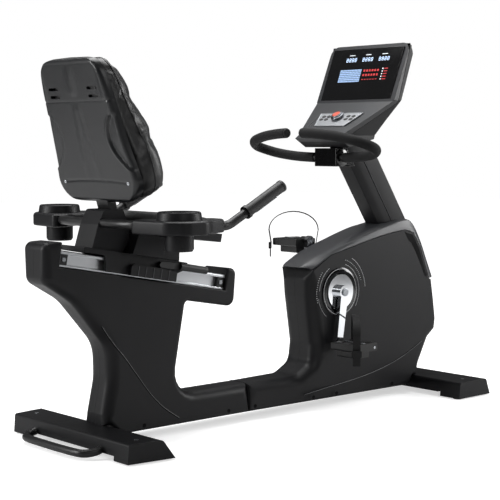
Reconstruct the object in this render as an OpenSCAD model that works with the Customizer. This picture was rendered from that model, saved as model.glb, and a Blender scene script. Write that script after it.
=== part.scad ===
// Recumbent exercise bike. X points forward, Y to the rider's left, Z up.
// The origin is on the floor, midway along and across the machine.

/* [Overall] */
// Length over the rail housing and the front stabiliser
overall_len = 1748; // [1700:1:1800]
// Half width of the base and column covers
base_half_w = 60; // [56:1:66]
// Half width of the front drive shroud
shroud_half_w = 78; // [76:1:84]
// Wall of the moulded covers
wall = 3; // [2.5:0.1:3.5]

/* [Seat rail] */
// Forward position of the rail's middle
rail_x = -505; // [-515:1:-495]
// Height of the rail's underside at its middle
rail_z = 499.5; // [495:0.5:505]
// Slope of the rail, lower at the front
rail_tilt = 10.3; // [9:0.1:11]
// Length of the aluminium rail
rail_len = 640; // [630:1:646]
// Height of the rail section
rail_h = 48; // [46:1:50]
// Half width over the rail flanges
rail_half_w = 50; // [48:0.5:51]

/* [Drive] */
// Forward position of the crank axle
crank_x = 316; // [312:1:320]
// Height of the crank axle
crank_z = 400; // [396:1:404]
// Length of a crank arm, axle to pedal spindle
crank_len = 170; // [165:1:172]
// Lean of the right crank arm towards the seat, from straight down
crank_lean = 8; // [0:1:14]
// Radius of the drive pulley
pulley_r = 110; // [100:1:114]
// Radius of the flywheel
flywheel_r = 95; // [80:1:98]

/* [Seat] */
// Lean of the backrest from upright
back_lean = 16.7; // [14:0.1:20]
// Distance of the cup wells and side grips from the middle
arm_y = 308; // [304:1:312]
// Diameter of the side arm tube
arm_d = 28; // [25:1:30]

/* [Console] */
// Lean of the display from upright
display_lean = 21; // [18:1:24]
// Width of the display glass
display_w = 340; // [320:1:346]
// Height of the display glass
display_h = 196; // [180:1:198]

/* [Hidden] */
$fn = 48;

// Small gap kept between pieces that only meet
gap = 0.4;
half_len = overall_len / 2;
arc_steps = 6;

// Floor level members
beam_z0 = 66;
beam_h = 48;
beam_w = 50;
beam_x0 = -655;
beam_x1 = 718;
base_z0 = 30;
base_top = 124;
stab_h = 62;
stab_tube_h = 36;
stab_tube_z0 = 16;
rear_stab_x = -670;
front_stab_x = 736;
split_x = -85;

// Seat post and front posts
post_x = -510;
post_l = 60;
bb_post_l = 40;
mast_post_x = 640;
mast_post_l = 56;
post_w = 40;

// Crank and pedals
axle_r = 10;
bb_r = 22;
bb_half_l = 34;
bearing_r = 19;
bearing_w = 12;
pulley_y = -52;
belt_w = 10;
belt_t = 3;
fly_x = 462;
fly_z = 250;
fly_w = 26;
fly_pulley_r = 28;
fly_axle_r = 8.5;
plate_t = 5;
surround_r = 84;
hub_disc_r = 61;
arm_in_y = 90;
arm_t = 15;
pedal_y0 = 112;
pedal_w = 120;
pedal_l = 104;
pedal_top = 4;
pedal_h = 26;
pedal_depth = 46;
spindle_r = 7;
running = 0.05;

// Rail running gear
roller_r = 13.5;
flange_t = 6;
roller_n = flange_t + roller_r + 0.3;
roller_w = 8;
stop_l = 26;
cheek_in = rail_half_w + 2;
cheek_out = rail_half_w + 9;
front_roller_u = 70;
rear_roller_u = -130;

// Mast
mast_foot = [628, 622];
mast_lean = 34;
mast_len = 386;

// Display and deck
display_top = [541, 1249];
deck_low = [279, 929];

// ---- Plane geometry ----
function unit(v) = v / norm(v);
function cross2(a, b) = a.x * b.y - a.y * b.x;
function sides_in(p, q) = unit([-(q - p).y, (q - p).x]);
function at(pts, i) = pts[(i + len(pts)) % len(pts)];
function xy(p) = [p.x, p.y];

// Arc that rounds the corner at p1 of the path p0, p1, p2
function corner(p0, p1, p2, r) =
    let (a = unit(p0 - p1), b = unit(p2 - p1), bend = acos(a * b),
        c = p1 + unit(a + b) * (r / sin(bend / 2)),
        s = p1 + a * (r / tan(bend / 2)) - c,
        e = p1 + b * (r / tan(bend / 2)) - c,
        a0 = atan2(s.y, s.x), turn = (atan2(e.y, e.x) - a0 + 540) % 360 - 180)
    [for (i = [0:arc_steps]) c + r * [cos(a0 + turn * i / arc_steps), sin(a0 + turn * i / arc_steps)]];

// Outline whose corners [x, z, radius] are rounded
function rounded(pts) = [
    for (i = [0:len(pts) - 1])
        let (p = pts[i], r = p[2])
        for (q = r > 0 ? corner(xy(at(pts, i - 1)), xy(p), xy(at(pts, i + 1)), r) : [xy(p)]) q
];

// The same corners moved in by d, for an outline that runs anticlockwise
function inset(pts, d) = [
    for (i = [0:len(pts) - 1])
        let (a = xy(at(pts, i - 1)), p = xy(pts[i]), b = xy(at(pts, i + 1)),
            n1 = sides_in(a, p), n2 = sides_in(p, b), m = unit(n1 + n2),
            convex = cross2(p - a, b - p) > 0, r = pts[i][2])
        concat(p + m * (d / (m * n1)), r == 0 ? 0 : convex ? max(r - d, 1) : r + d)
];

// Plate cut to a side outline, from y0 to y1
module slab(pts, y0, y1) {
    translate([0, y1, 0]) rotate([90, 0, 0]) linear_extrude(y1 - y0) polygon(pts);
}

// Hollow moulded half cover, open on the middle plane, with a stepped outer edge
module half_cover(pts, half_w, edge = 9) {
    steps = 3;
    difference() {
        union() {
            slab(rounded(pts), gap / 2, half_w - edge);
            for (i = [0:steps - 1])
                slab(rounded(inset(pts, edge * (1 - sqrt(1 - pow((i + 0.6) / steps, 2))))),
                    half_w - edge + edge * i / steps, half_w - edge + edge * (i + 1) / steps);
        }
        slab(rounded(inset(pts, wall)), -1, half_w - edge);
        slab(rounded(inset(pts, wall + edge / 2)), half_w - edge - 1, half_w - wall);
    }
}

module on_side(side) {
    mirror([0, side > 0 ? 0 : 1, 0]) children();
}

module both_sides() {
    for (side = [-1, 1]) on_side(side) children();
}

// Rod along Y
module rod_y(x, z, r, y0, y1) {
    translate([x, y1, z]) rotate([90, 0, 0]) cylinder(r = r, h = y1 - y0);
}

// ---- Swept tubes ----
function frame_x(t) = unit(cross(t, abs(t.z) > 0.9 ? [0, 1, 0] : [0, 0, 1]));
function ring(p, t, r, n) =
    let (u = frame_x(t), v = cross(u, t))
    [for (k = [0:n - 1]) p + r * (u * cos(360 * k / n) + v * sin(360 * k / n))];

// Smooth path through guide points
function spline(g, n) = [
    for (i = [0:len(g) - 2]) for (k = [0:n - 1])
        let (p0 = g[max(i - 1, 0)], p1 = g[i], p2 = g[i + 1], p3 = g[min(i + 2, len(g) - 1)], s = k / n)
        0.5 * (2 * p1 + (p2 - p0) * s + (2 * p0 - 5 * p1 + 4 * p2 - p3) * s * s
            + (3 * p1 - p0 - 3 * p2 + p3) * s * s * s),
    g[len(g) - 1]
];
function tangent(path, i) = unit(path[min(i + 1, len(path) - 1)] - path[max(i - 1, 0)]);

// Round bar or hose along a path, solid when the bore is nought
module sweep(path, r, bore = 0, n = 12) {
    m = len(path);
    outer = [for (i = [0:m - 1]) for (q = ring(path[i], tangent(path, i), r, n)) q];
    inner = bore > 0 ? [for (i = [0:m - 1]) for (q = ring(path[i], tangent(path, i), bore, n)) q] : [];
    skin = [for (i = [0:m - 2]) for (k = [0:n - 1])
        [i * n + k, i * n + (k + 1) % n, (i + 1) * n + (k + 1) % n, (i + 1) * n + k]];
    lining = bore > 0 ? [for (f = skin) [for (j = [3:-1:0]) f[j] + m * n]] : [];
    ends = bore > 0
        ? [for (e = [0, m - 1]) for (k = [0:n - 1])
            let (a = e * n + k, b = e * n + (k + 1) % n)
            e == 0 ? [b, a, a + m * n, b + m * n] : [a, b, b + m * n, a + m * n]]
        : [[for (k = [n - 1:-1:0]) k], [for (k = [0:n - 1]) (m - 1) * n + k]];
    polyhedron(concat(outer, inner), concat(skin, lining, ends), convexity = 6);
}

// ---- Rail frame: u runs down the rail, n stands up from its underside ----
module on_rail() {
    translate([rail_x, 0, rail_z]) rotate([0, rail_tilt, 0]) children();
}
function rail_pt(u, n) = [
    rail_x + u * cos(rail_tilt) + n * sin(rail_tilt),
    rail_z - u * sin(rail_tilt) + n * cos(rail_tilt)
];
function rail_corner(u, n, r) = concat(rail_pt(u, n), r);

// ---- Welded frame ----
module box_tube(l, w, h, t) {
    difference() {
        translate([-l / 2, -w / 2, 0]) cube([l, w, h]);
        translate([-l / 2 + t, -w / 2 + t, -1]) cube([l - 2 * t, w - 2 * t, h + 2]);
    }
}

module main_beam() {
    block_l = 9;
    color("dimgray") {
        difference() {
            translate([beam_x0, -beam_w / 2, beam_z0]) cube([beam_x1 - beam_x0, beam_w, beam_h]);
            translate([beam_x0 - 1, -beam_w / 2 + wall, beam_z0 + wall])
                cube([beam_x1 - beam_x0 + 2, beam_w - 2 * wall, beam_h - 2 * wall]);
        }
        // Blocks that stand on the two stabiliser tubes
        for (x = [beam_x0, beam_x1 - block_l])
            translate([x, -20, stab_tube_z0 + stab_tube_h])
                cube([block_l, 40, beam_z0 - stab_tube_z0 - stab_tube_h]);
    }
}

module seat_post() {
    bed_drop = 9;
    color("dimgray") difference() {
        translate([post_x, 0, beam_z0 + beam_h]) box_tube(post_l, beam_w, 420, wall);
        on_rail() translate([-300, -100, -bed_drop]) cube([600, 200, 500]);
    }
}

module rail_bed() {
    bed_t = 8;
    color("dimgray") on_rail() translate([-270, -40, -bed_t - 1]) cube([540, 80, bed_t]);
}

module front_frame() {
    post_top = crank_z - bb_r + 2;
    color("dimgray") difference() {
        union() {
            translate([crank_x - bb_post_l / 2, -post_w / 2, beam_z0 + beam_h])
                cube([bb_post_l, post_w, post_top - beam_z0 - beam_h]);
            rod_y(crank_x, crank_z, bb_r, -bb_half_l, bb_half_l);
            translate([mast_post_x - mast_post_l / 2, -post_w / 2, beam_z0 + beam_h])
                cube([mast_post_l, post_w, 470]);
            on_mast() {
                translate([-20, -post_w / 2 + 1, -60]) cube([40, post_w - 2, 450]);
                // Arm that carries the handlebar
                translate([bar_u, -12, bar_v - 12]) cube([-bar_u - 10, 24, 18]);
            }
            rod_y(bar_x, bar_z, bar_r + 6, -17, 17);
            both_sides() slab([[crank_x, 180], [mast_post_x, 180], [mast_post_x, 300], [crank_x, 300]],
                post_w / 2 - 1, post_w / 2 + plate_t);
        }
        rod_y(crank_x, crank_z, bearing_r + running, -bb_half_l - 1, bb_half_l + 1);
        rod_y(fly_x, fly_z, 17.5 + running, -40, 40);
        rod_y(bar_x, bar_z, bar_r + 0.5, -25, 25);
    }
}

module stab_tube(x, half_l) {
    color("dimgray") translate([x, half_l, stab_tube_z0]) rotate([90, 0, 0]) linear_extrude(2 * half_l)
        difference() {
            translate([-25, 0]) square([50, stab_tube_h]);
            translate([-22, 3]) square([44, stab_tube_h - 6]);
        }
}

module rear_stabiliser_tube() {
    stab_tube(rear_stab_x, 270);
}

module front_stabiliser_tube() {
    stab_tube(front_stab_x, 190);
}

// Side sections of the two stabiliser covers, seen along Y
rear_section = [
    [-604, 4, 0], [-646, stab_h, 14], [-757, stab_h, 8], [-762, 4, 0]
];
front_section = [
    [half_len, 4, 0], [half_len - 22, stab_h, 12], [half_len - 166, stab_h, 10], [half_len - 172, 4, 0]
];

module stabiliser_cover(section, wide, narrow, x0, x1, rise, notch) {
    notch_l = 16;
    foot_z = 4;
    color([0.12, 0.12, 0.125]) difference() {
        intersection() {
            slab(rounded(section), -wide - 1, wide + 1);
            linear_extrude(stab_h + 1) polygon([[x0, -narrow], [x1, -wide], [x1, wide], [x0, narrow]]);
        }
        translate([0, 0, -wall]) intersection() {
            slab(rounded(inset(section, wall)), -wide + wall, wide - wall);
            linear_extrude(stab_h + 1)
                polygon([[x0, -narrow + wall], [x1, -wide + wall], [x1, wide - wall], [x0, narrow - wall]]);
        }
        translate([x0 - 200, -wide, foot_z - 10]) cube([600, 2 * wide, 10]);
        translate([x0 - 200, -wide + 90, 0]) cube([600, 2 * wide - 180, foot_z + rise]);
        translate([notch - notch_l / 2, -21, stab_h - 10]) cube([notch_l, 42, 20]);
    }
}

module rear_stabiliser_cover() {
    stabiliser_cover(rear_section, 322, 302, -764, -602, 14, beam_x0 + 4.5);
}

module front_stabiliser_cover() {
    difference() {
        stabiliser_cover(front_section, 297, 297, half_len - 174, half_len + 1, 16, beam_x1 - 4.5);
        both_sides() translate([half_len - 60, wheel_y - 3, 0]) cube([70, wheel_w + 6, 52]);
    }
}

foot_spots = [[-730, 270], [-640, 282], [726, 270], [832, 262]];

module floor_feet() {
    color([0.05, 0.05, 0.05]) both_sides() for (s = foot_spots)
        translate([s.x, s.y, 0]) {
            cylinder(r = 16, h = 9);
            translate([0, 0, 9]) cylinder(r = 5, h = 9);
        }
}

wheel_y = 206;
wheel_w = 22;
wheel_r = 21;
wheel_x = half_len - 24;
wheel_z = 25;

module wheel_axles() {
    color("silver") both_sides() {
        rod_y(wheel_x, wheel_z, 4, wheel_y - 2.6, wheel_y + wheel_w + 2.6);
        difference() {
            translate([wheel_x - 40, wheel_y - 6.8, wheel_z - 6]) cube([46, 4, 12]);
            rod_y(wheel_x, wheel_z, 4, wheel_y - 8, wheel_y);
        }
    }
}

module transport_wheel(side) {
    color([0.1, 0.1, 0.1]) on_side(side) difference() {
        rod_y(wheel_x, wheel_z, wheel_r, wheel_y, wheel_y + wheel_w);
        rod_y(wheel_x, wheel_z, 4 + running, wheel_y - 1, wheel_y + wheel_w + 1);
    }
}

// Lifting loop under the rear stabiliser
module lift_handle() {
    reach = -824;
    half_w = 172;
    z = 20;
    path = spline([[-765, -half_w, 28], [-780, -half_w, z + 4], [-805, -half_w + 14, z],
        [reach + 4, -half_w + 46, z], [reach, 0, z], [reach + 4, half_w - 46, z],
        [-805, half_w - 14, z], [-780, half_w, z + 4], [-765, half_w, 28]], 3);
    color([0.1, 0.1, 0.1]) sweep(path, 12, 9.5);
}

// ---- Column and rail housing ----
block_n = 72;
column_outline = [
    [-664, stab_h + gap, 0], [-640, stab_h + gap, 0], [-600, base_z0, 8], [split_x, base_z0, 0],
    [split_x, base_top, 0], [-393, base_top, 72], [-350, 420, 16], [-149, 384, 26],
    [-138, 508, 22], rail_corner(rail_len / 2 + 1, block_n, 4), rail_corner(rail_len / 2 + 1, -gap, 0),
    rail_corner(-rail_len / 2 - 1, -gap, 0), rail_corner(-rail_len / 2 - 1, block_n, 4),
    [-half_len, 628, 24], [-half_len, 510, 30], [-770, 446, 150], [-645, 300, 110],
    [-642, 200, 200], [-664, 96, 12]
];

module column_cover(side) {
    bed = 46;
    color([0.13, 0.13, 0.135]) on_side(side) difference() {
        half_cover(column_outline, base_half_w, 10);
        // Clear the bed, the post and the beam, and let the rail through the blocks
        on_rail() translate([-280, -1, -12]) cube([560, bed, 14]);
        translate([split_x - 10, -1, beam_z0 - 1]) cube([20, beam_w / 2 + 1.5, beam_h + 2]);
        translate([beam_x0 - 1, -1, beam_z0 - 6]) cube([11, 22, 10]);
    }
}

module column_cover_left() {
    column_cover(1);
}

module column_cover_right() {
    column_cover(-1);
}

module seat_rail() {
    cap_t = 10;
    web_y = rail_half_w - 14;
    in_y = web_y - 4;
    half = [
        [0, 0], [rail_half_w, 0], [rail_half_w, flange_t], [web_y, flange_t],
        [web_y, rail_h - cap_t], [rail_half_w, rail_h - cap_t], [rail_half_w, rail_h - 3],
        [rail_half_w - 3, rail_h], [0, rail_h]
    ];
    profile = concat(half, [for (i = [len(half) - 1:-1:0]) if (half[i].x > 0) [-half[i].x, half[i].y]]);
    color([0.85, 0.86, 0.87]) on_rail() translate([-rail_len / 2, 0, 0])
        rotate([90, 0, 90]) linear_extrude(rail_len) difference() {
            polygon(profile);
            translate([-in_y, flange_t]) square([2 * in_y, rail_h - flange_t - cap_t]);
        }
}

module rail_end_stops() {
    inner_y = rail_half_w - 13.6;
    color([0.08, 0.08, 0.08]) on_rail() both_sides() for (u = [-rail_len / 2 + 2, rail_len / 2 - 2 - stop_l])
        difference() {
            translate([u, inner_y, 6.4]) cube([stop_l, rail_half_w - inner_y - 1, rail_h - 17.2]);
            translate([u + stop_l / 2, 0, rail_h / 2 - 2]) rotate([-90, 0, 0]) cylinder(r = 4.1, h = 80);
        }
}

module rail_bolts() {
    inner_y = rail_half_w - 13.6;
    color("silver") on_rail() both_sides() for (u = [-rail_len / 2 + 2, rail_len / 2 - 2 - stop_l])
        translate([u + stop_l / 2, inner_y, rail_h / 2 - 2]) rotate([-90, 0, 0]) {
            cylinder(r = 4, h = 12.8);
            translate([0, 0, 12.8]) cylinder(r = 6.5, h = 3);
        }
}

// ---- Drive shroud ----
// Joint between the side covers and the top cover, from the nose forwards
top_line = [[190, 482], [277, 530], [508, 580], [581, 591], [652, 600], [698, 588], [736, 533], [786, 414]];
shroud_outline = concat([
    [split_x + gap, base_z0, 0], [676, base_z0, 10], [706, stab_h + gap, 0], [724, stab_h + gap, 0],
    [740, 106, 30], [790, 192, 16], [830, 222, 16], [836, 262, 40], [822, 345, 100], [802, 412, 4]],
    [for (i = [len(top_line) - 1:-1:0]) concat(top_line[i], 0)],
    [[174, 450, 20], [178, 390, 60], [203, 225, 60], [196, 160, 40], [132, base_top, 60],
    [split_x + gap, base_top, 0]]);

module shroud(side) {
    color([0.12, 0.12, 0.125]) on_side(side) difference() {
        half_cover(shroud_outline, shroud_half_w, 12);
        rod_y(crank_x, crank_z, surround_r - 14, shroud_half_w - 10, shroud_half_w + 1);
        translate([split_x - 10, -1, beam_z0 - 1]) cube([20, beam_w / 2 + 1.5, beam_h + 2]);
        translate([beam_x1 - 10, -1, beam_z0 - 6]) cube([11, 22, 10]);
        on_mast() translate([-60, -1, -80]) cube([140, 48, 300]);
    }
}

module shroud_left() {
    shroud(1);
}

module shroud_right() {
    shroud(-1);
}

// Crowned cover along the top of the shroud and down its front, in two heights
mid_crown = [[812, 417], [772, 500], [748, 552], [704, 622], [668, 640], [581, 618], [508, 604], [277, 541], [182, 488]];
top_crown = [[828, 419], [790, 500], [769, 548], [726, 618], [690, 642], [559, 622], [463, 606], [259, 536],
    [197, 511], [160, 491]];

module crown_body(d) {
    crown_half = 44 - d;
    inner_half = 70 - d;
    slab(concat(top_line, top_crown), -crown_half, crown_half);
    slab(concat([for (p = top_line) p + [0, 0.5]], mid_crown), -inner_half, inner_half);
}

module shroud_top_cover() {
    color([0.3, 0.3, 0.31]) difference() {
        translate([0, 0, gap]) crown_body(0);
        translate([-wall * 0.7, 0, -wall]) crown_body(wall);
        on_mast() translate([-58, -46, -62]) cube([135, 92, 300]);
    }
}

module crank_surrounds() {
    t = 4;
    color([0.04, 0.04, 0.04]) both_sides() difference() {
        rod_y(crank_x, crank_z, surround_r, shroud_half_w + 0.1, shroud_half_w + t);
        rod_y(crank_x, crank_z, hub_disc_r + 3, shroud_half_w - 1, shroud_half_w + t + 1);
    }
}

// ---- Mast, console and handlebar ----
module on_mast() {
    translate([mast_foot.x, 0, mast_foot.y]) rotate([0, -mast_lean, 0]) children();
}

mast_half = [[-56, 0], [-56, 30], [-28, 44], [58, 44], [76, 26], [76, 0]];
function mast_section(d) = [
    for (p = mast_half) [p.x - sign(p.x) * d, max(p.y - d, 0)]
];
function mirrored(h) = concat(h, [for (i = [len(h) - 2:-1:1]) [h[i].x, -h[i].y]]);

module mast_cover() {
    foot_u = -56;
    foot_z = 600;
    cap_z = 944;
    color([0.14, 0.14, 0.145]) difference() {
        on_mast() translate([0, 0, foot_u]) linear_extrude(mast_len - foot_u) polygon(mirrored(mast_section(0)));
        on_mast() translate([0, 0, foot_u - 1]) linear_extrude(mast_len - foot_u + 2)
            polygon(mirrored(mast_section(wall)));
        // End inside the shroud, stop under the console and let the bar's arm through
        translate([200, -60, 0]) cube([700, 120, foot_z]);
        translate([445, -60, cap_z]) cube([120, 120, 120]);
        on_mast() translate([-60, -20, bar_v - 16]) cube([12, 40, 26]);
        slab(xy_only(inset(deck_outline, -1)), -130, 130);
    }
}

function xy_only(pts) = [for (p = pts) xy(p)];

// Console seen from the side: display face, deck, chin and belly
display_foot = display_top - display_h * [sin(display_lean), cos(display_lean)];
deck_outline = [
    [deck_low.x, deck_low.y, 0], [330, 898, 0], [454, 926, 0], [476, 990, 0], [500, 1048, 0],
    [526, 1118, 0], [562, 1222, 0], [562, 1252, 0], [549, 1262, 0], [display_foot.x - 6, display_foot.y - 10, 0]
];

// Cheek lines that narrow the deck towards the chin, seen from above and behind
module console_plan(shrink = 0) {
    w0 = 108 - shrink;
    w1 = 189 - shrink;
    rotate([90, 0, 90]) linear_extrude(700)
        polygon([[-w0, 850], [w0, 850], [w0, 940], [w1, 1060], [w1, 1300], [-w1, 1300], [-w1, 1060], [-w0, 940]]);
}

module console_body(d) {
    intersection() {
        slab(xy_only(inset(deck_outline, d)), -200, 200);
        console_plan(d);
    }
}

bezel_t = 16;
module console_split() {
    // Everything in front of the face panel
    p = display_top + [bezel_t, 30];
    q = display_foot + [bezel_t, -bezel_t];
    r = deck_low + [bezel_t, -bezel_t];
    slab([r - [0, 60], [700, 700], [700, 1400], [p.x + 20, 1400], p, q, r], -220, 220);
}

module console_housing() {
    color([0.13, 0.13, 0.135]) difference() {
        intersection() {
            console_body(0);
            console_split();
        }
        console_body(wall);
        // Passage for the mast
        on_mast() translate([-21, -post_w / 2 - 1, 340]) cube([42, post_w + 2, 54]);
    }
}

module console_bezel() {
    color([0.2, 0.2, 0.21]) difference() {
        console_body(0);
        translate([-gap, 0, 0]) console_split();
        // Recess for the glass and the plate
        on_display() translate([-gap, -display_w / 2 - gap, -display_h / 2 - gap])
            cube([5, display_w + 2 * gap, display_h + 2 * gap]);
        on_deck() translate([-66, -105, -2.2]) cube([82, 210, 10]);
        on_deck() translate([-12, 0, -20]) cylinder(r = 12.4, h = 40);
    }
}

module on_display() {
    mid = (display_top + display_foot) / 2;
    translate([mid.x - 2.9, 0, mid.y]) rotate([0, display_lean, 0]) children();
}

module display_glass() {
    color([0.02, 0.02, 0.025]) on_display()
        translate([0, -display_w / 2, -display_h / 2]) cube([4, display_w, display_h]);
}

deck_slope = atan2(display_foot.y - 10 - deck_low.y, display_foot.x - 6 - deck_low.x);
module on_deck() {
    p = [deck_low.x, deck_low.y] + 0.62 * ([display_foot.x - 6, display_foot.y - 10] - [deck_low.x, deck_low.y]);
    translate([p.x, 0, p.y]) rotate([0, -deck_slope, 0]) children();
}

module deck_plate() {
    color([0.75, 0.76, 0.78]) on_deck() difference() {
        translate([0, 0, -2]) linear_extrude(3.4)
            polygon([[-64, -72], [14, -103], [14, 103], [-64, 72]]);
        translate([-12, 0, -3]) cylinder(r = 12.4, h = 10);
    }
}

module console_knob() {
    color([0.6, 0.6, 0.62]) on_deck() translate([-12, 0, 0]) {
        translate([0, 0, -14]) cylinder(r = 5, h = 16);
        translate([0, 0, 1.8]) cylinder(r = 24, h = 9);
        translate([0, 0, 10.8]) cylinder(r = 19, h = 5);
    }
}

bar_x = 347;
bar_z = 862;
bar_r = 12.7;
// The bar's middle seen along the mast
bar_u = (bar_x - mast_foot.x) * cos(mast_lean) + (bar_z - mast_foot.y) * sin(mast_lean);
bar_v = -(bar_x - mast_foot.x) * sin(mast_lean) + (bar_z - mast_foot.y) * cos(mast_lean);
bar_path = spline([[bar_x, 0, bar_z], [bar_x, 50, bar_z], [338, 150, 866], [320, 228, 876], [290, 270, 890],
    [252, 278, 904], [214, 246, 921], [194, 176, 936], [180, 100, 944], [174, 44, 947]], 3);

module handlebar_tube() {
    full = concat([for (i = [len(bar_path) - 1:-1:1]) [bar_path[i].x, -bar_path[i].y, bar_path[i].z]], bar_path);
    color([0.1, 0.1, 0.1]) sweep(full, bar_r, bar_r - 1.8);
}

module handlebar_grips() {
    foam_r = 19.6;
    grip_path = [for (i = [4:len(bar_path) - 1]) bar_path[i]];
    tip = grip_path[len(grip_path) - 1];
    onward = unit(tip - grip_path[len(grip_path) - 2]);
    color([0.07, 0.07, 0.07]) both_sides() {
        sweep(concat(grip_path, [tip + 6 * onward]), foam_r, bar_r + 0.4);
        translate(tip + 4 * onward) rotate([90, 0, 0]) cylinder(r = foam_r - 0.8, h = 5);
    }
}

module handlebar_clamp_cover() {
    clamp_x0 = 322;
    clamp_z0 = 832;
    clamp_l = 100;
    clamp_h = 63;
    half = 52;
    color([0.06, 0.06, 0.06]) difference() {
        translate([clamp_x0, -half, clamp_z0]) cube([clamp_l, 2 * half, clamp_h]);
        translate([clamp_x0 + wall, -half + wall, clamp_z0 + wall])
            cube([clamp_l, 2 * half - 2 * wall, clamp_h - 2 * wall]);
        rod_y(bar_x, bar_z, bar_r + 1.2, -half - 1, half + 1);
        on_mast() translate([-56 - gap, -half - 1, 200]) cube([200, 2 * half + 2, 260]);
    }
}

// ---- Drive train inside the shroud ----
module bearing(x, z, r_out, r_in, y0, w) {
    difference() {
        rod_y(x, z, r_out, y0, y0 + w);
        rod_y(x, z, r_in + running, y0 - 1, y0 + w + 1);
    }
}

module bearings() {
    color("silver") both_sides() {
        bearing(crank_x, crank_z, bearing_r, axle_r, bb_half_l - bearing_w, bearing_w);
        bearing(fly_x, fly_z, 17.5, fly_axle_r, post_w / 2 - 3, plate_t + 5);
    }
}

module magnet_brake() {
    // Horseshoe of magnets held over the flywheel's rim
    r0 = flywheel_r + 4;
    color([0.35, 0.3, 0.25]) difference() {
        translate([fly_x - 30, -19, fly_z + 60]) cube([60, 38, r0 - 30]);
        rod_y(fly_x, fly_z, r0 - 2, -fly_w / 2 - 1.5, fly_w / 2 + 1.5);
    }
}

function belt_line(d) =
    let (span = [fly_x - crank_x, fly_z - crank_z], dist = norm(span), a = atan2(span.y, span.x),
        lean = acos((pulley_r - fly_pulley_r) / dist), n = 30)
    concat(
        [for (i = [0:n]) let (t = a + lean + (360 - 2 * lean) * i / n)
            [crank_x, crank_z] + (pulley_r + d) * [cos(t), sin(t)]],
        [for (i = [0:12]) let (t = a - lean + 2 * lean * i / 12)
            [fly_x, fly_z] + (fly_pulley_r + d) * [cos(t), sin(t)]]);

module drive_belt() {
    color([0.05, 0.05, 0.05]) difference() {
        slab(belt_line(gap + belt_t), pulley_y - belt_w / 2, pulley_y + belt_w / 2);
        slab(belt_line(gap + 0.3), pulley_y - belt_w, pulley_y + belt_w);
    }
}

module crank_axle() {
    color("silver") rod_y(crank_x, crank_z, axle_r, -arm_in_y - arm_t, arm_in_y + arm_t);
}

module drive_pulley() {
    color([0.75, 0.75, 0.76]) difference() {
        rod_y(crank_x, crank_z, pulley_r, pulley_y - 6, pulley_y + 6);
        rod_y(crank_x, crank_z, axle_r + running, pulley_y - 7, pulley_y + 7);
        for (a = [0:60:300])
            rod_y(crank_x + 66 * cos(a), crank_z + 66 * sin(a), 24, pulley_y - 7, pulley_y + 7);
    }
}

module flywheel() {
    color([0.4, 0.4, 0.42]) {
        rod_y(fly_x, fly_z, flywheel_r, -fly_w / 2, fly_w / 2);
        rod_y(fly_x, fly_z, fly_axle_r, pulley_y - 7, 32);
        rod_y(fly_x, fly_z, fly_pulley_r, pulley_y - 6, pulley_y + 6);
    }
}

// Pedal spindle centre on one side: the right arm hangs down
function pedal_at(side) = [
    crank_x + side * crank_len * sin(crank_lean), crank_z + side * crank_len * cos(crank_lean)
];

module crank_arms() {
    eye_r = 16;
    boss_r = 24;
    color([0.8, 0.81, 0.83]) for (side = [-1, 1]) {
        p = pedal_at(side);
        on_side(side) difference() {
            union() {
                rod_y(crank_x, crank_z, hub_disc_r, shroud_half_w + 1, shroud_half_w + 7);
                rod_y(crank_x, crank_z, boss_r, shroud_half_w + 6, arm_in_y + arm_t);
                rod_y(p.x, p.y, eye_r, arm_in_y, arm_in_y + arm_t);
                translate([crank_x, arm_in_y + arm_t, crank_z])
                    rotate([90, side > 0 ? crank_lean - 90 : crank_lean + 90, 0]) linear_extrude(arm_t)
                        polygon([[0, -17], [crank_len, -13], [crank_len, 13], [0, 17]]);
            }
            rod_y(crank_x, crank_z, axle_r + running, 0, 200);
            rod_y(p.x, p.y, spindle_r + running, 0, 200);
        }
    }
}

module crank_bolts() {
    color([0.7, 0.7, 0.72]) both_sides()
        rod_y(crank_x, crank_z, 13, arm_in_y + arm_t + 0.1, arm_in_y + arm_t + 5);
}

module pedal_spindles() {
    color("silver") for (side = [-1, 1]) {
        p = pedal_at(side);
        on_side(side) rod_y(p.x, p.y, spindle_r, arm_in_y + arm_t / 2, pedal_y0 + pedal_w - 12);
    }
}

// Rounded block of the pedal: half length in X, from z0 to z1 around the spindle, from y0 to y1
module pedal_block(p, half_l, z0, z1, y0, y1) {
    slab(rounded([[p.x - half_l, p.y + z0, 6], [p.x + half_l, p.y + z0, 6],
        [p.x + half_l, p.y + z1, 5], [p.x - half_l, p.y + z1, 5]]), y0, y1);
}

// The toe strap's plane: it runs from the outer rear corner to the inner front one
strap_skew = 44;
strap_half = 79.2;
module on_strap(p) {
    translate([p.x + 1, pedal_y0 + 67, p.y]) rotate([0, 0, strap_skew]) children();
}

module pedal(side) {
    p = pedal_at(side);
    y1 = pedal_y0 + pedal_w;
    rim = 16;
    color([0.07, 0.07, 0.07]) on_side(side) difference() {
        union() {
            pedal_block(p, pedal_l / 2, pedal_top - pedal_h, pedal_top, pedal_y0, y1);
            pedal_block(p, pedal_l / 2 - rim, -pedal_depth, 0, pedal_y0 + 14, y1 - 24);
            rod_y(p.x, p.y, 13, pedal_y0 - 4, pedal_y0 + 20);
        }
        rod_y(p.x, p.y, spindle_r + running, 0, pedal_y0 + pedal_w - 10);
        on_strap(p) translate([-60, -strap_half - 30, -60]) cube([120, 31.6, 120]);
    }
}

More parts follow.
